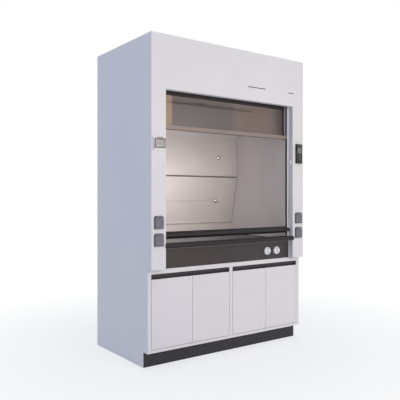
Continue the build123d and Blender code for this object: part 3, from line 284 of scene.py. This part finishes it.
nodeFinish = {
    "side_panel_left": "white", "side_panel_right": "white", "fascia": "white",
    "post_left": "white", "post_right": "white", "roof_panel": "white",
    "base_frame": "white", "cabinet_shell": "white", "shelves": "white",
    "door_far_left": "white", "door_mid_left": "white", "door_mid_right": "white",
    "door_far_right": "white",
    "rear_panel": "galvanised", "exhaust_duct": "galvanised",
    "liner_sides": "lining", "liner_back": "lining", "chamber_ceiling": "lining",
    "baffle_top": "lining", "baffle_upper": "lining", "baffle_lower": "lining",
    "baffle_knobs": "chrome", "chamber_lamp": "opal", "worktop": "resin",
    "airfoil": "sillCoat", "control_panel": "darkCoat", "toe_kick": "plinthCoat",
    "pane_frame": "darkCoat", "pull_far_left": "plinthCoat", "pull_mid_left": "plinthCoat",
    "pull_mid_right": "plinthCoat", "pull_far_right": "plinthCoat",
    "sash_handle": "darkRail", "sash_top_rail": "paleRail",
    "sash_glass": "glass", "fixed_pane": "fixedPanePaintedReflection",
    "sash_guides": "blackPlastic", "breaker_lever": "blackPlastic", "counterweight": "ballast",
    "front_pulley_shaft": "steel", "rear_pulley_shaft": "steel", "shaft_bearings": "steel",
    "upper_cables": "steel", "front_cables": "steel", "rear_cables": "steel",
    "door_pivots": "steel", "levelling_feet": "steel", "valve_bodies": "brass",
    "valve_knob_left": "whitePlastic", "valve_knob_right": "whitePlastic",
    "breaker_box": "whitePlastic",
    "socket_frames": "socketGrey", "socket_lid_left_upper": "socketGrey",
    "socket_lid_left_lower": "socketGrey", "socket_lid_right_upper": "socketGrey",
    "socket_lid_right_lower": "socketGrey",
    "breaker_cover": "smoked", "controller_case": "controllerGrey",
    "controller_key_upper": "controllerGrey", "controller_key_lower": "controllerGrey",
}


def dressNodes():
    for name, finish in nodeFinish.items():
        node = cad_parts[name]
        node.data.materials.clear()
        node.data.materials.append(finishes[finish])


dressNodes()
print("finishes on", len(nodeFinish), "nodes")


# Edge finish of the carried-over nodes: a small rounded edge that catches the light
edgeWidths = {
    "side_panel_left": 0.0007, "side_panel_right": 0.0007, "fascia": 0.0006, "roof_panel": 0.0006,
    "post_left": 0.0006, "post_right": 0.0006, "rear_panel": 0.0006, "toe_kick": 0.0006,
    "base_frame": 0.0008, "cabinet_shell": 0.0005, "shelves": 0.001,
    "door_far_left": 0.0012, "door_mid_left": 0.0012, "door_mid_right": 0.0012, "door_far_right": 0.0012,
    "pull_far_left": 0.0006, "pull_mid_left": 0.0006, "pull_mid_right": 0.0006, "pull_far_right": 0.0006,
    "liner_sides": 0.0008, "liner_back": 0.0008, "chamber_ceiling": 0.0008, "worktop": 0.0025,
    "baffle_top": 0.0008, "baffle_lower": 0.0008,
    "control_panel": 0.0006, "pane_frame": 0.0008, "fixed_pane": 0.0008, "sash_glass": 0.0008,
    "sash_top_rail": 0.001, "counterweight": 0.0015, "chamber_lamp": 0.002, "breaker_box": 0.0006,
    "controller_case": 0.0006, "socket_frames": 0.0005, "airfoil": 0.0006, "sash_handle": 0.0006,
    "sash_guides": 0.0003, "shaft_bearings": 0.0005,
}


def roundEdges(piece, width, segments=2, angle=32.0):
    weld = piece.modifiers.new("weld", "WELD")
    weld.merge_threshold = 0.00002
    bevel = piece.modifiers.new("roundedEdges", "BEVEL")
    bevel.width = width
    bevel.segments = segments
    bevel.limit_method = "ANGLE"
    bevel.angle_limit = math.radians(angle)
    bevel.harden_normals = False
    even = piece.modifiers.new("evenShading", "WEIGHTED_NORMAL")
    even.keep_sharp = True


def shadeNodes():
    for name, width in edgeWidths.items():
        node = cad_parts[name]
        if "custom_normal" in node.data.attributes:
            node.data.attributes.remove(node.data.attributes["custom_normal"])
        for face in node.data.polygons:
            face.use_smooth = True
        roundEdges(node, width)


shadeNodes()
print("edges rounded on", len(edgeWidths), "nodes")


# Mesh helpers. Every length is in metres, in the frame's own axes.
def addBlock(mesh, low, high):
    made = bmesh.ops.create_cube(mesh, size=1.0)["verts"]
    size = [high[i] - low[i] for i in range(3)]
    middle = [(high[i] + low[i]) / 2 for i in range(3)]
    bmesh.ops.scale(mesh, vec=size, verts=made)
    bmesh.ops.translate(mesh, vec=middle, verts=made)


axisTurns = {
    "X": Matrix.Rotation(math.radians(90.0), 4, "Y"),
    "Y": Matrix.Rotation(math.radians(-90.0), 4, "X"),
    "Z": Matrix.Identity(4),
}


def addTurned(mesh, middle, axis, outline, segments=32):
    place = Matrix.Translation(middle) @ axisTurns[axis]
    rings = []
    for radius, along in outline:
        if radius < 1e-7:
            rings.append([mesh.verts.new(place @ Vector((0.0, 0.0, along)))])
            continue
        ring = []
        for step in range(segments):
            angle = 2 * math.pi * step / segments
            spoke = Vector((radius * math.cos(angle), radius * math.sin(angle), along))
            ring.append(mesh.verts.new(place @ spoke))
        rings.append(ring)
    for first, second in zip(rings, rings[1:]):
        for step in range(segments):
            following = (step + 1) % segments
            if len(first) == 1:
                mesh.faces.new((first[0], second[step], second[following]))
            elif len(second) == 1:
                mesh.faces.new((first[step], second[0], first[following]))
            else:
                mesh.faces.new((first[step], second[step], second[following], first[following]))


def addProfile(mesh, outline, axis, start, end):
    ends = []
    for along in (start, end):
        ring = []
        for first, second in outline:
            places = {"X": (along, first, second), "Y": (first, along, second), "Z": (first, second, along)}
            ring.append(mesh.verts.new(places[axis]))
        ends.append(ring)
    count = len(outline)
    for step in range(count):
        following = (step + 1) % count
        mesh.faces.new((ends[0][step], ends[0][following], ends[1][following], ends[1][step]))
    mesh.faces.new(ends[0][::-1])
    mesh.faces.new(ends[1])


# A closed ring of faces over outlines with equal numbers of points, each at its own depth
def addFrame(mesh, loops):
    rings = [[mesh.verts.new((x, depth, z)) for x, z in outline] for outline, depth in loops]
    count = len(rings[0])
    for first, second in zip(rings, rings[1:] + rings[:1]):
        for step in range(count):
            following = (step + 1) % count
            mesh.faces.new((first[step], second[step], second[following], first[following]))


def roundedOutline(low, high, radius, steps=5):
    corners = ((high[0], high[1], 0), (low[0], high[1], 90), (low[0], low[1], 180), (high[0], low[1], 270))
    outline = []
    for cornerX, cornerZ, begin in corners:
        middleX = cornerX - math.copysign(radius, cornerX - (low[0] + high[0]) / 2)
        middleZ = cornerZ - math.copysign(radius, cornerZ - (low[1] + high[1]) / 2)
        for step in range(steps + 1):
            angle = math.radians(begin + 90.0 * step / steps)
            outline.append((middleX + radius * math.cos(angle), middleZ + radius * math.sin(angle)))
    return outline


def finishPiece(name, mesh, finish, body, edge=0.0, smooth=True, replaced=()):
    bmesh.ops.recalc_face_normals(mesh, faces=mesh.faces)
    data = bpy.data.meshes.new(name)
    mesh.to_mesh(data)
    mesh.free()
    for face in data.polygons:
        face.use_smooth = smooth
    data.materials.append(finishes[finish])
    piece = bpy.data.objects.new(name, data)
    bpy.context.scene.collection.objects.link(piece)
    if edge:
        roundEdges(piece, edge)
    elif smooth:
        data.set_sharp_from_angle(angle=math.radians(38.0))
    if body:
        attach(piece, body)
    if replaced:
        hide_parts(*replaced)
    return piece


# Planes read from the frame
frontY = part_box("fascia")[0].y
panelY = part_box("control_panel")[0].y


# Fascia: two thin printed rules, and nothing between them
fasciaRules = {
    "height": 2.0735,
    "thickness": 0.0066,
    "proud": 0.0003,
    "spans": ((0.133, 0.317), (0.577, 0.638)),
}


def makeFasciaRules():
    mesh = bmesh.new()
    half = fasciaRules["thickness"] / 2
    for low, high in fasciaRules["spans"]:
        addBlock(mesh, (low, frontY - fasciaRules["proud"], fasciaRules["height"] - half),
                 (high, frontY, fasciaRules["height"] + half))
    finishPiece("fascia_rules", mesh, "inkGrey", "casing", smooth=False)


makeFasciaRules()


# Valve knobs: a dark escutcheon behind each, and two grey ends on its grip
valve = {
    "ringRadius": 0.0385,
    "ringInner": 0.024,
    "ringThickness": 0.0012,
    "ringChamfer": 0.0012,
    "gripHalfLength": 0.0245,
    "capLength": 0.007,
    "capHalfWidth": 0.0046,
    "capDepth": 0.008,
    "capProud": 0.0004,
}


def makeValveTrim():
    rings = bmesh.new()
    outer, inner = valve["ringRadius"], valve["ringInner"]
    thickness = valve["ringThickness"]
    for side in ("left", "right"):
        low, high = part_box("valve_knob_" + side)
        middle = (low + high) / 2
        addTurned(rings, (middle.x, panelY, middle.z), "Y",
                  [(0.0, 0.0), (outer, 0.0), (outer, -thickness / 2),
                   (outer - valve["ringChamfer"], -thickness), (inner, -thickness), (0.0, -thickness)],
                  segments=48)
        caps = bmesh.new()
        for end in (-1, 1):
            tip = middle.z + end * valve["gripHalfLength"]
            outline = []
            for step in range(10):
                angle = math.radians(20.0 * step)
                outline.append((middle.x + valve["capHalfWidth"] * math.cos(angle),
                                tip - end * valve["capLength"] * (1.0 - math.sin(angle))))
            addProfile(caps, outline, "Y", low.y - valve["capProud"], low.y + valve["capDepth"])
        finishPiece("valve_grip_caps_" + side, caps, "capGrey", side + "_valve", edge=0.0005)
    finishPiece("valve_escutcheons", rings, "blackPlastic", "casing")


makeValveTrim()


# Sockets: a raised rim on every lid, and three small marks under its hinge band
lid = {
    "edge": 0.0015,
    "band": 0.0165,
    "outerCorner": 0.004,
    "rimInset": 0.007,
    "rimHead": 0.005,
    "innerCorner": 0.003,
    "rimProud": 0.0009,
    "rimSunk": 0.0004,
    "markPitch": 0.008,
    "markDrop": 0.0225,
    "markRadius": 0.0016,
    "markTip": 0.0012,
    "markProud": 0.0006,
}


def makeSocketTrim():
    for place in ("left_upper", "left_lower", "right_upper", "right_lower"):
        low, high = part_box("socket_lid_" + place)
        middle = (low + high) / 2
        edge, inset, rimTop = lid["edge"], lid["rimInset"], high.z - lid["band"]
        outer = roundedOutline((low.x + edge, low.z + edge), (high.x - edge, rimTop), lid["outerCorner"])
        inner = roundedOutline((low.x + inset, low.z + inset), (high.x - inset, rimTop - lid["rimHead"]),
                               lid["innerCorner"])
        proud, sunk = low.y - lid["rimProud"], low.y + lid["rimSunk"]
        rim = bmesh.new()
        addFrame(rim, ((outer, sunk), (outer, proud), (inner, proud), (inner, sunk)))
        finishPiece("lid_rim_" + place, rim, "socketGrey", place + "_lid", edge=0.0003)
        marks = bmesh.new()
        radius, proud = lid["markRadius"], lid["markProud"]
        for step in (-1, 0, 1):
            addTurned(marks, (middle.x + step * lid["markPitch"], low.y, high.z - lid["markDrop"]), "Y",
                      [(0.0, proud / 2), (radius, proud / 2), (radius, -proud / 2), (lid["markTip"], -proud),
                       (0.0, -proud)], segments=16)
        finishPiece("lid_marks_" + place, marks, "blackPlastic", place + "_lid")


makeSocketTrim()


# Sockets' insides, seen when a lid is up: a round face with two contacts and two earth clips
contact = {
    "wellDepth": 0.0175,
    "lift": 0.0035,
    "faceRadius": 0.0185,
    "faceDepth": 0.006,
    "faceLip": 0.0015,
    "faceSteps": (0.002, 0.004, 0.005),
    "holeRadius": 0.0024,
    "pitch": 0.0095,
    "clipReach": 0.0145,
    "clipHalfWidth": 0.0025,
    "clipHalfThickness": 0.0006,
}


def makeSocketFaces():
    faces = bmesh.new()
    clips = bmesh.new()
    radius, depth, hole = contact["faceRadius"], contact["faceDepth"], contact["holeRadius"]
    lip, crest, well = contact["faceSteps"]
    for place in ("left_upper", "left_lower", "right_upper", "right_lower"):
        low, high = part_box("socket_lid_" + place)
        middle = (low + high) / 2
        middle.y = frontY + contact["wellDepth"]
        middle.z += contact["lift"]
        addTurned(faces, middle, "Y",
                  [(0.0, 0.0), (radius, 0.0), (radius, -depth), (radius - lip, -depth - contact["faceLip"]),
                   (radius - crest, -depth), (radius - well, -depth * 0.4), (0.0, -depth * 0.4)], segments=36)
        for end in (-1, 1):
            addTurned(clips, middle + Vector((end * contact["pitch"], 0, 0)), "Y",
                      [(0.0, -depth * 0.38), (hole, -depth * 0.38), (hole, -depth * 0.5),
                       (hole * 0.6, -depth * 0.5), (hole * 0.6, -depth * 0.42), (0.0, -depth * 0.42)],
                      segments=16)
            halfWidth, halfThickness = contact["clipHalfWidth"], contact["clipHalfThickness"]
            reach = end * contact["clipReach"]
            addBlock(clips, middle + Vector((-halfWidth, -depth * 1.2, reach - halfThickness)),
                     middle + Vector((halfWidth, -depth * 0.3, reach + halfThickness)))
    finishPiece("socket_faces", faces, "socketGrey", "casing")
    finishPiece("socket_contacts", clips, "brass", "casing")


makeSocketFaces()


# Switch box: dark surround on the cover, and two screws on the white body
switchBox = {
    "hingeBand": 0.0128,
    "surroundEdge": 0.001,
    "surroundWidth": 0.0065,
    "surroundDepth": 0.0006,
    "outerCorner": 0.003,
    "innerCorner": 0.002,
    "bodyProud": 0.014,
    "screwRadius": 0.0032,
    "screwInset": (0.0065, 0.0068),
}


def makeSwitchTrim():
    low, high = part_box("breaker_cover")
    top = high.z - switchBox["hingeBand"]
    edge, width = switchBox["surroundEdge"], switchBox["surroundWidth"]
    outer = roundedOutline((low.x + edge, low.z + edge), (high.x - edge, top), switchBox["outerCorner"])
    inner = roundedOutline((low.x + width, low.z + width), (high.x - width, top - width),
                           switchBox["innerCorner"])
    face, sunk = low.y, low.y + switchBox["surroundDepth"]
    surround = bmesh.new()
    addFrame(surround, ((outer, sunk), (outer, face), (inner, face), (inner, sunk)))
    finishPiece("switch_cover_surround", surround, "surroundGrey", "switch_cover",
                edge=0.0002)
    boxLow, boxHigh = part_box("breaker_box")
    insetX, insetZ = switchBox["screwInset"]
    radius = switchBox["screwRadius"]
    screws = bmesh.new()
    for cornerX in (boxLow.x + insetX, boxHigh.x - insetX):
        addTurned(screws, (cornerX, frontY - switchBox["bodyProud"], boxLow.z + insetZ), "Y",
                  [(0.0, 0.0002), (radius, 0.0002), (radius, -0.0004), (radius * 0.75, -0.0009),
                   (0.0, -0.0011)], segments=20)
    finishPiece("switch_box_screws", screws, "steel", "casing")


makeSwitchTrim()


# Controller: a display in the recess, a plate over it whose blue-grey is a painted reflection, rings round
# the keys and a small lamp
controller = {
    "displayDrop": 0.030,
    "displayHeight": 0.050,
    "displayHalfWidth": 0.023,
    "displayCorner": 0.0018,
    "recess": 0.0012,
    "glassThickness": 0.0009,
    "glassInset": 0.0006,
    "barStart": 0.017,
    "barFoot": 0.010,
    "barPitch": 0.0095,
    "barHeight": 0.0022,
    "barLengths": (0.026, 0.018, 0.030, 0.012),
    "plateEdge": 0.0045,
    "plateGap": 0.005,
    "plateCorner": 0.002,
    "ringRadius": 0.0088,
    "ringWidth": 0.0009,
    "lampPlace": (0.019, 0.014),
    "lampRadius": 0.0016,
}


def makeControllerTrim():
    low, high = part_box("controller_case")
    face = low.y
    middleX = (low.x + high.x) / 2
    displayTop = high.z - controller["displayDrop"]
    displayLow = displayTop - controller["displayHeight"]
    inset, half = controller["glassInset"], controller["displayHalfWidth"]
    glass = bmesh.new()
    outline = roundedOutline((middleX - half + inset, displayLow + inset),
                             (middleX + half - inset, displayTop - inset), controller["displayCorner"])
    floor = face + controller["recess"]
    addProfile(glass, outline, "Y", floor - controller["glassThickness"], floor)
    finishPiece("controller_display", glass, "displayGlass", "casing", edge=0.0002)
    bars = bmesh.new()
    start = middleX - controller["barStart"]
    for step, length in enumerate(controller["barLengths"]):
        level = displayLow + controller["barFoot"] + step * controller["barPitch"]
        addBlock(bars, (start, face + 0.0002, level),
                 (start + length, face + 0.00035, level + controller["barHeight"]))
    finishPiece("controller_readout", bars, "readoutPale", "casing", smooth=False)
    # The plate's blue-grey stands in for the reflection at the top of the face: painted reflection.
    plate = bmesh.new()
    edge = controller["plateEdge"]
    outline = roundedOutline((low.x + edge, displayTop + controller["plateGap"]),
                             (high.x - edge, high.z - edge), controller["plateCorner"])
    addProfile(plate, outline, "Y", face - 0.0002, face + 0.0004)
    finishPiece("controller_head_plate", plate, "paintedReflectionBlue", "casing", edge=0.0001)
    rings = bmesh.new()
    outer = controller["ringRadius"]
    inner = outer - controller["ringWidth"]
    for place in ("upper", "lower"):
        keyLow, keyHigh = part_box("controller_key_" + place)
        middle = (keyLow + keyHigh) / 2
        addTurned(rings, (middle.x, face, middle.z), "Y",
                  [(outer, 0.0003), (outer, -0.0004), (inner, -0.0004), (inner, 0.0003), (outer, 0.0003)])
    finishPiece("controller_key_rings", rings, "capGrey", "casing")
    lamp = bmesh.new()
    lampX, lampRise = controller["lampPlace"]
    radius = controller["lampRadius"]
    addTurned(lamp, (middleX + lampX, face, displayTop + lampRise), "Y",
              [(0.0, 0.0003), (radius, 0.0003), (radius, -0.0004), (radius * 0.56, -0.0009), (0.0, -0.001)],
              segments=16)
    finishPiece("controller_lamp", lamp, "readoutPale", "casing")


makeControllerTrim()


# Sash stops: a small clamp block on each reveal, at the working height of the sash
sashStop = {
    "height": 1.500,
    "halfHeight": 0.014,
    "seat": 0.628,
    "proud": 0.006,
    "depth": 0.030,
    "reach": (-0.012, -0.009, 0.006, 0.010),
}


def makeSashStops():
    mesh = bmesh.new()
    middleY = frontY + sashStop["depth"]
    seatX, proudX = sashStop["seat"], sashStop["seat"] - sashStop["proud"]
    places = tuple(zip((seatX, proudX, proudX, seatX), sashStop["reach"]))
    for end in (-1, 1):
        outline = [(end * x, middleY + reach) for x, reach in places]
        addProfile(mesh, outline, "Z", sashStop["height"] - sashStop["halfHeight"],
                   sashStop["height"] + sashStop["halfHeight"])
    finishPiece("sash_stops", mesh, "whitePlastic", "casing", edge=0.001)


makeSashStops()


# Seals: round the fixed pane, between glass and rails, and under the grip rail
seal = {
    "width": 0.004,
    "proud": 0.0012,
    "barWidth": 0.010,
    "lintelHeight": 0.035,
    "headDrop": 0.0095,
    "edge": 0.0003,
    "railEnd": 0.002,
    "glassHeight": 0.0035,
    "glassReach": 0.0022,
    "footLow": 0.0018,
    "footPlaces": (0.012, 0.0035, 0.0055, 0.010),
}


def makePaneSeal():
    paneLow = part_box("fixed_pane")[0]
    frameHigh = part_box("pane_frame")[1]
    half = frameHigh.x - seal["barWidth"]
    under = frameHigh.z - seal["lintelHeight"]
    face, proud = paneLow.y, seal["proud"]
    mesh = bmesh.new()
    for end in (-1, 1):
        root, tip = end * half, end * (half - seal["width"])
        outline = [(root, face - proud), (tip, face - proud * 0.4), (tip, face), (root, face)]
        addProfile(mesh, outline, "Z", paneLow.z, under)
    outline = [(face, under), (face - proud * 2, under), (face - proud * 2, under - seal["headDrop"] * 0.8),
               (face, under - seal["headDrop"])]
    addProfile(mesh, outline, "X", -half, half)
    finishPiece("pane_seal", mesh, "rubber", "casing", edge=seal["edge"])


def makeSashSeals():
    handleLow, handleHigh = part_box("sash_handle")
    railLow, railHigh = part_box("sash_top_rail")
    half = railHigh.x - seal["railEnd"]
    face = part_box("sash_glass")[0].y
    back = face + seal["edge"]
    mesh = bmesh.new()
    for level, rise in ((handleHigh.z, 1), (railLow.z, -1)):
        tip = level + rise * seal["glassHeight"]
        outline = [(face - seal["glassReach"], level), (face, tip), (back, tip), (back, level)]
        addProfile(mesh, outline, "X", -half, half)
    finishPiece("glass_seal", mesh, "rubber", "sash", edge=seal["edge"])
    mesh = bmesh.new()
    foot = handleLow.z - seal["footLow"]
    levels = (handleLow.z, handleLow.z, foot, foot)
    outline = [(handleHigh.y - place, level) for place, level in zip(seal["footPlaces"], levels)]
    addProfile(mesh, outline, "X", -half, half)
    finishPiece("sash_foot_seal", mesh, "rubber", "sash", edge=seal["edge"])


makePaneSeal()
makeSashSeals()


# Cables: twisted steel rope between the pulleys, the sash and the counterweight
rope = {
    "radius": 0.00145,
    "cableRadius": 0.0015,
    "lobes": 6,
    "lobeDepth": 0.00022,
    "lay": 0.026,
    "ringStep": 0.0035,
    "longStep": 0.006,
    "turnSteps": 24,
}


def addRope(mesh, points):
    around = rope["lobes"] * 2
    rings = []
    travelled = 0.0
    previous = points[0]
    for index, point in enumerate(points):
        travelled += (point - previous).length
        previous = point
        ahead = points[min(index + 1, len(points) - 1)] - points[max(index - 1, 0)]
        side = Vector((1.0, 0.0, 0.0))
        up = ahead.normalized().cross(side)
        twist = 2 * math.pi * travelled / rope["lay"]
        ring = []
        for step in range(around):
            angle = 2 * math.pi * step / around + twist
            radius = rope["radius"] - (rope["lobeDepth"] if step % 2 else 0.0)
            spoke = side * math.cos(angle) + up * math.sin(angle)
            ring.append(mesh.verts.new(point + spoke * radius))
        rings.append(ring)
    for first, second in zip(rings, rings[1:]):
        for step in range(around):
            following = (step + 1) % around
            mesh.faces.new((first[step], first[following], second[following], second[step]))
    mesh.faces.new(rings[0][::-1])
    mesh.faces.new(rings[-1])


def straightRun(x, y, low, high):
    count = max(2, int((high - low) / rope["ringStep"]))
    return [Vector((x, y, low + (high - low) * step / count)) for step in range(count + 1)]


def makeHangingRope(name, node):
    low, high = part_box(node)
    mesh = bmesh.new()
    x = high.x - rope["cableRadius"]
    y = (low.y + high.y) / 2
    for end in (-1, 1):
        addRope(mesh, straightRun(end * x, y, low.z, high.z))
    piece = finishPiece(name, mesh, "steel", None, replaced=(node,))
    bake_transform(piece)


def quarterTurn(centre, level, radius, begin):
    turn = []
    for step in range(rope["turnSteps"] + 1):
        angle = math.radians(begin - 90.0 * step / rope["turnSteps"])
        turn.append((centre + radius * math.cos(angle), level + radius * math.sin(angle)))
    return turn


def makeUpperRope():
    low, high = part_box("upper_cables")
    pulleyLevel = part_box("front_cables")[1].z
    radius = high.z - rope["radius"] - pulleyLevel
    frontCentre = low.y + rope["cableRadius"] + radius
    rearCentre = high.y - rope["cableRadius"] - radius
    points = quarterTurn(frontCentre, pulleyLevel, radius, 180.0)
    count = int((rearCentre - frontCentre) / rope["longStep"])
    for step in range(1, count):
        points.append((frontCentre + (rearCentre - frontCentre) * step / count, pulleyLevel + radius))
    points += quarterTurn(rearCentre, pulleyLevel, radius, 90.0)
    mesh = bmesh.new()
    x = high.x - rope["cableRadius"]
    for end in (-1, 1):
        addRope(mesh, [Vector((end * x, y, z)) for y, z in points])
    finishPiece("upper_ropes", mesh, "steel", "casing", replaced=("upper_cables",))


makeHangingRope("front_ropes", "front_cables")
makeHangingRope("rear_ropes", "rear_cables")
makeUpperRope()


# Screws: pan heads that hold the rear sheet and the roof
screw = {
    "radius": 0.0048,
    "height": 0.0019,
    "pitch": 0.235,
    "sideInset": 0.012,
    "sheet": 0.0020,
    "rowInset": 0.04,
    "columnInset": 0.15,
    "roofInsets": (0.012, 0.014),
}


def addScrew(mesh, place, axis, sign):
    radius, height = screw["radius"], screw["height"]
    addTurned(mesh, place, axis,
              [(0.0, 0.0), (radius, 0.0), (radius, sign * height * 0.35), (radius * 0.8, sign * height * 0.8),
               (radius * 0.42, sign * height), (radius * 0.36, sign * height * 0.45),
               (0.0, sign * height * 0.4)], segments=18)


def spread(low, high):
    count = int((high - low) / screw["pitch"])
    return [low + (high - low) * step / count for step in range(count + 1)]


def makeScrews():
    low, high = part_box("rear_panel")
    mesh = bmesh.new()
    for level in spread(low.z + screw["rowInset"], high.z - screw["rowInset"]):
        for end in (-1, 1):
            addScrew(mesh, (end * (high.x - screw["sideInset"]), high.y - screw["sheet"], level), "Y", 1)
    finishPiece("rear_panel_screws", mesh, "steel", "casing")
    low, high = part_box("roof_panel")
    frontInset, backInset = screw["roofInsets"]
    mesh = bmesh.new()
    for x in spread(low.x + screw["columnInset"], high.x - screw["columnInset"]):
        for y in (low.y + frontInset, high.y - backInset):
            addScrew(mesh, (x, y, high.z), "Z", 1)
    finishPiece("roof_screws", mesh, "steel", "casing")


makeScrews()


# Duct: a rolled bead round the spigot
duct = {
    "spigotRadius": 0.125,
    "beadRadius": 0.0022,
    "beadDrop": 0.012,
    "beadRoot": 0.0005,
}


def makeDuctBead():
    low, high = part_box("exhaust_duct")
    middle = (low + high) / 2
    level = high.z - duct["beadDrop"]
    bead, root = duct["beadRadius"], duct["spigotRadius"] - duct["beadRoot"]
    outline = []
    for step in range(9):
        angle = math.radians(-90 + 180 * step / 8)
        outline.append((duct["spigotRadius"] + bead * math.cos(angle), level + bead * math.sin(angle)))
    outline += [(root, level + bead), (root, level - bead), outline[0]]
    mesh = bmesh.new()
    addTurned(mesh, (middle.x, middle.y, 0.0), "Z", outline, segments=96)
    finishPiece("duct_bead", mesh, "galvanised", "casing")


makeDuctBead()
print("pieces made")


# Studio: a white floor and backdrop, soft lamps
studio = {
    "floorHalf": 14.0,
    "floorColor": (0.93, 0.93, 0.94),
    "floorShare": 0.30,
    "floorFade": (0.8, 2.6),
    "worldColor": (0.74, 0.82, 1.0),
    "worldLevel": 0.645,
    "lamps": [
        {"name": "frontLamp", "place": (0.9, -5.4, 2.1), "aim": (0.0, 0.0, 1.0), "size": 2.6,
         "power": 88.0, "color": (1.0, 0.83, 0.60)},
        {"name": "chamberLamp", "place": (-0.25, -0.20, 1.25), "aim": (-0.25, 0.36, 1.13), "size": 0.5,
         "power": 2.1, "color": (1.0, 0.955, 0.98)},
    ],
}


def seenRays(tree, path):
    total = path.outputs["Is Camera Ray"]
    for kind in ("Is Glossy Ray", "Is Transmission Ray"):
        added = tree.nodes.new("ShaderNodeMath")
        added.operation = "MAXIMUM"
        tree.links.new(total, added.inputs[0])
        tree.links.new(path.outputs[kind], added.inputs[1])
        total = added.outputs["Value"]
    return total


def makeFloor():
    half = studio["floorHalf"]
    mesh = bpy.data.meshes.new("studioFloor")
    corners = [(-half, -half, 0), (half, -half, 0), (half, half, 0), (-half, half, 0)]
    mesh.from_pydata(corners, [], [(0, 1, 2, 3)])
    floor = bpy.data.objects.new("studioFloor", mesh)
    bpy.context.scene.collection.objects.link(floor)
    material = bpy.data.materials.new("floorWhite")
    material.use_nodes = True
    tree = material.node_tree
    tree.nodes.clear()
    out = tree.nodes.new("ShaderNodeOutputMaterial")
    matt = addNode(tree, "ShaderNodeBsdfDiffuse", Color=(*studio["floorColor"], 1.0))
    glow = addNode(tree, "ShaderNodeEmission", Color=(1.0, 1.0, 1.0, 1.0), Strength=1.0)
    shown = tree.nodes.new("ShaderNodeMixShader")
    spot = tree.nodes.new("ShaderNodeTexCoord")
    reach = tree.nodes.new("ShaderNodeVectorMath")
    reach.operation = "LENGTH"
    tree.links.new(spot.outputs["Object"], reach.inputs[0])
    tree.links.new(rangeOf(tree, reach.outputs["Value"], studio["floorShare"], 0.0, *studio["floorFade"]),
                   shown.inputs["Fac"])
    path = tree.nodes.new("ShaderNodeLightPath")
    pick = tree.nodes.new("ShaderNodeMixShader")
    tree.links.new(glow.outputs["Emission"], shown.inputs[1])
    tree.links.new(matt.outputs["BSDF"], shown.inputs[2])
    tree.links.new(seenRays(tree, path), pick.inputs["Fac"])
    tree.links.new(matt.outputs["BSDF"], pick.inputs[1])
    tree.links.new(shown.outputs["Shader"], pick.inputs[2])
    tree.links.new(pick.outputs["Shader"], out.inputs["Surface"])
    mesh.materials.append(material)


def makeWorld():
    world = bpy.data.worlds.new("studioWorld")
    bpy.context.scene.world = world
    world.use_nodes = True
    tree = world.node_tree
    tree.nodes.clear()
    out = tree.nodes.new("ShaderNodeOutputWorld")
    soft = addNode(tree, "ShaderNodeBackground", Color=(*studio["worldColor"], 1.0),
                   Strength=studio["worldLevel"])
    seen = addNode(tree, "ShaderNodeBackground", Color=(1.0, 1.0, 1.0, 1.0), Strength=1.0)
    path = tree.nodes.new("ShaderNodeLightPath")
    mix = tree.nodes.new("ShaderNodeMixShader")
    tree.links.new(seenRays(tree, path), mix.inputs["Fac"])
    tree.links.new(soft.outputs["Background"], mix.inputs[1])
    tree.links.new(seen.outputs["Background"], mix.inputs[2])
    tree.links.new(mix.outputs["Shader"], out.inputs["Surface"])


def makeLamps():
    for lamp in studio["lamps"]:
        data = bpy.data.lights.new(lamp["name"], "AREA")
        data.shape = "DISK"
        data.size = lamp["size"]
        data.energy = lamp["power"]
        data.color = lamp["color"]
        made = bpy.data.objects.new(lamp["name"], data)
        made.location = lamp["place"]
        aim = Vector(lamp["aim"]) - Vector(lamp["place"])
        made.rotation_euler = aim.to_track_quat("-Z", "Y").to_euler()
        bpy.context.scene.collection.objects.link(made)


makeFloor()
makeWorld()
makeLamps()
bpy.context.scene.view_settings.view_transform = "Standard"
print("studio ready")
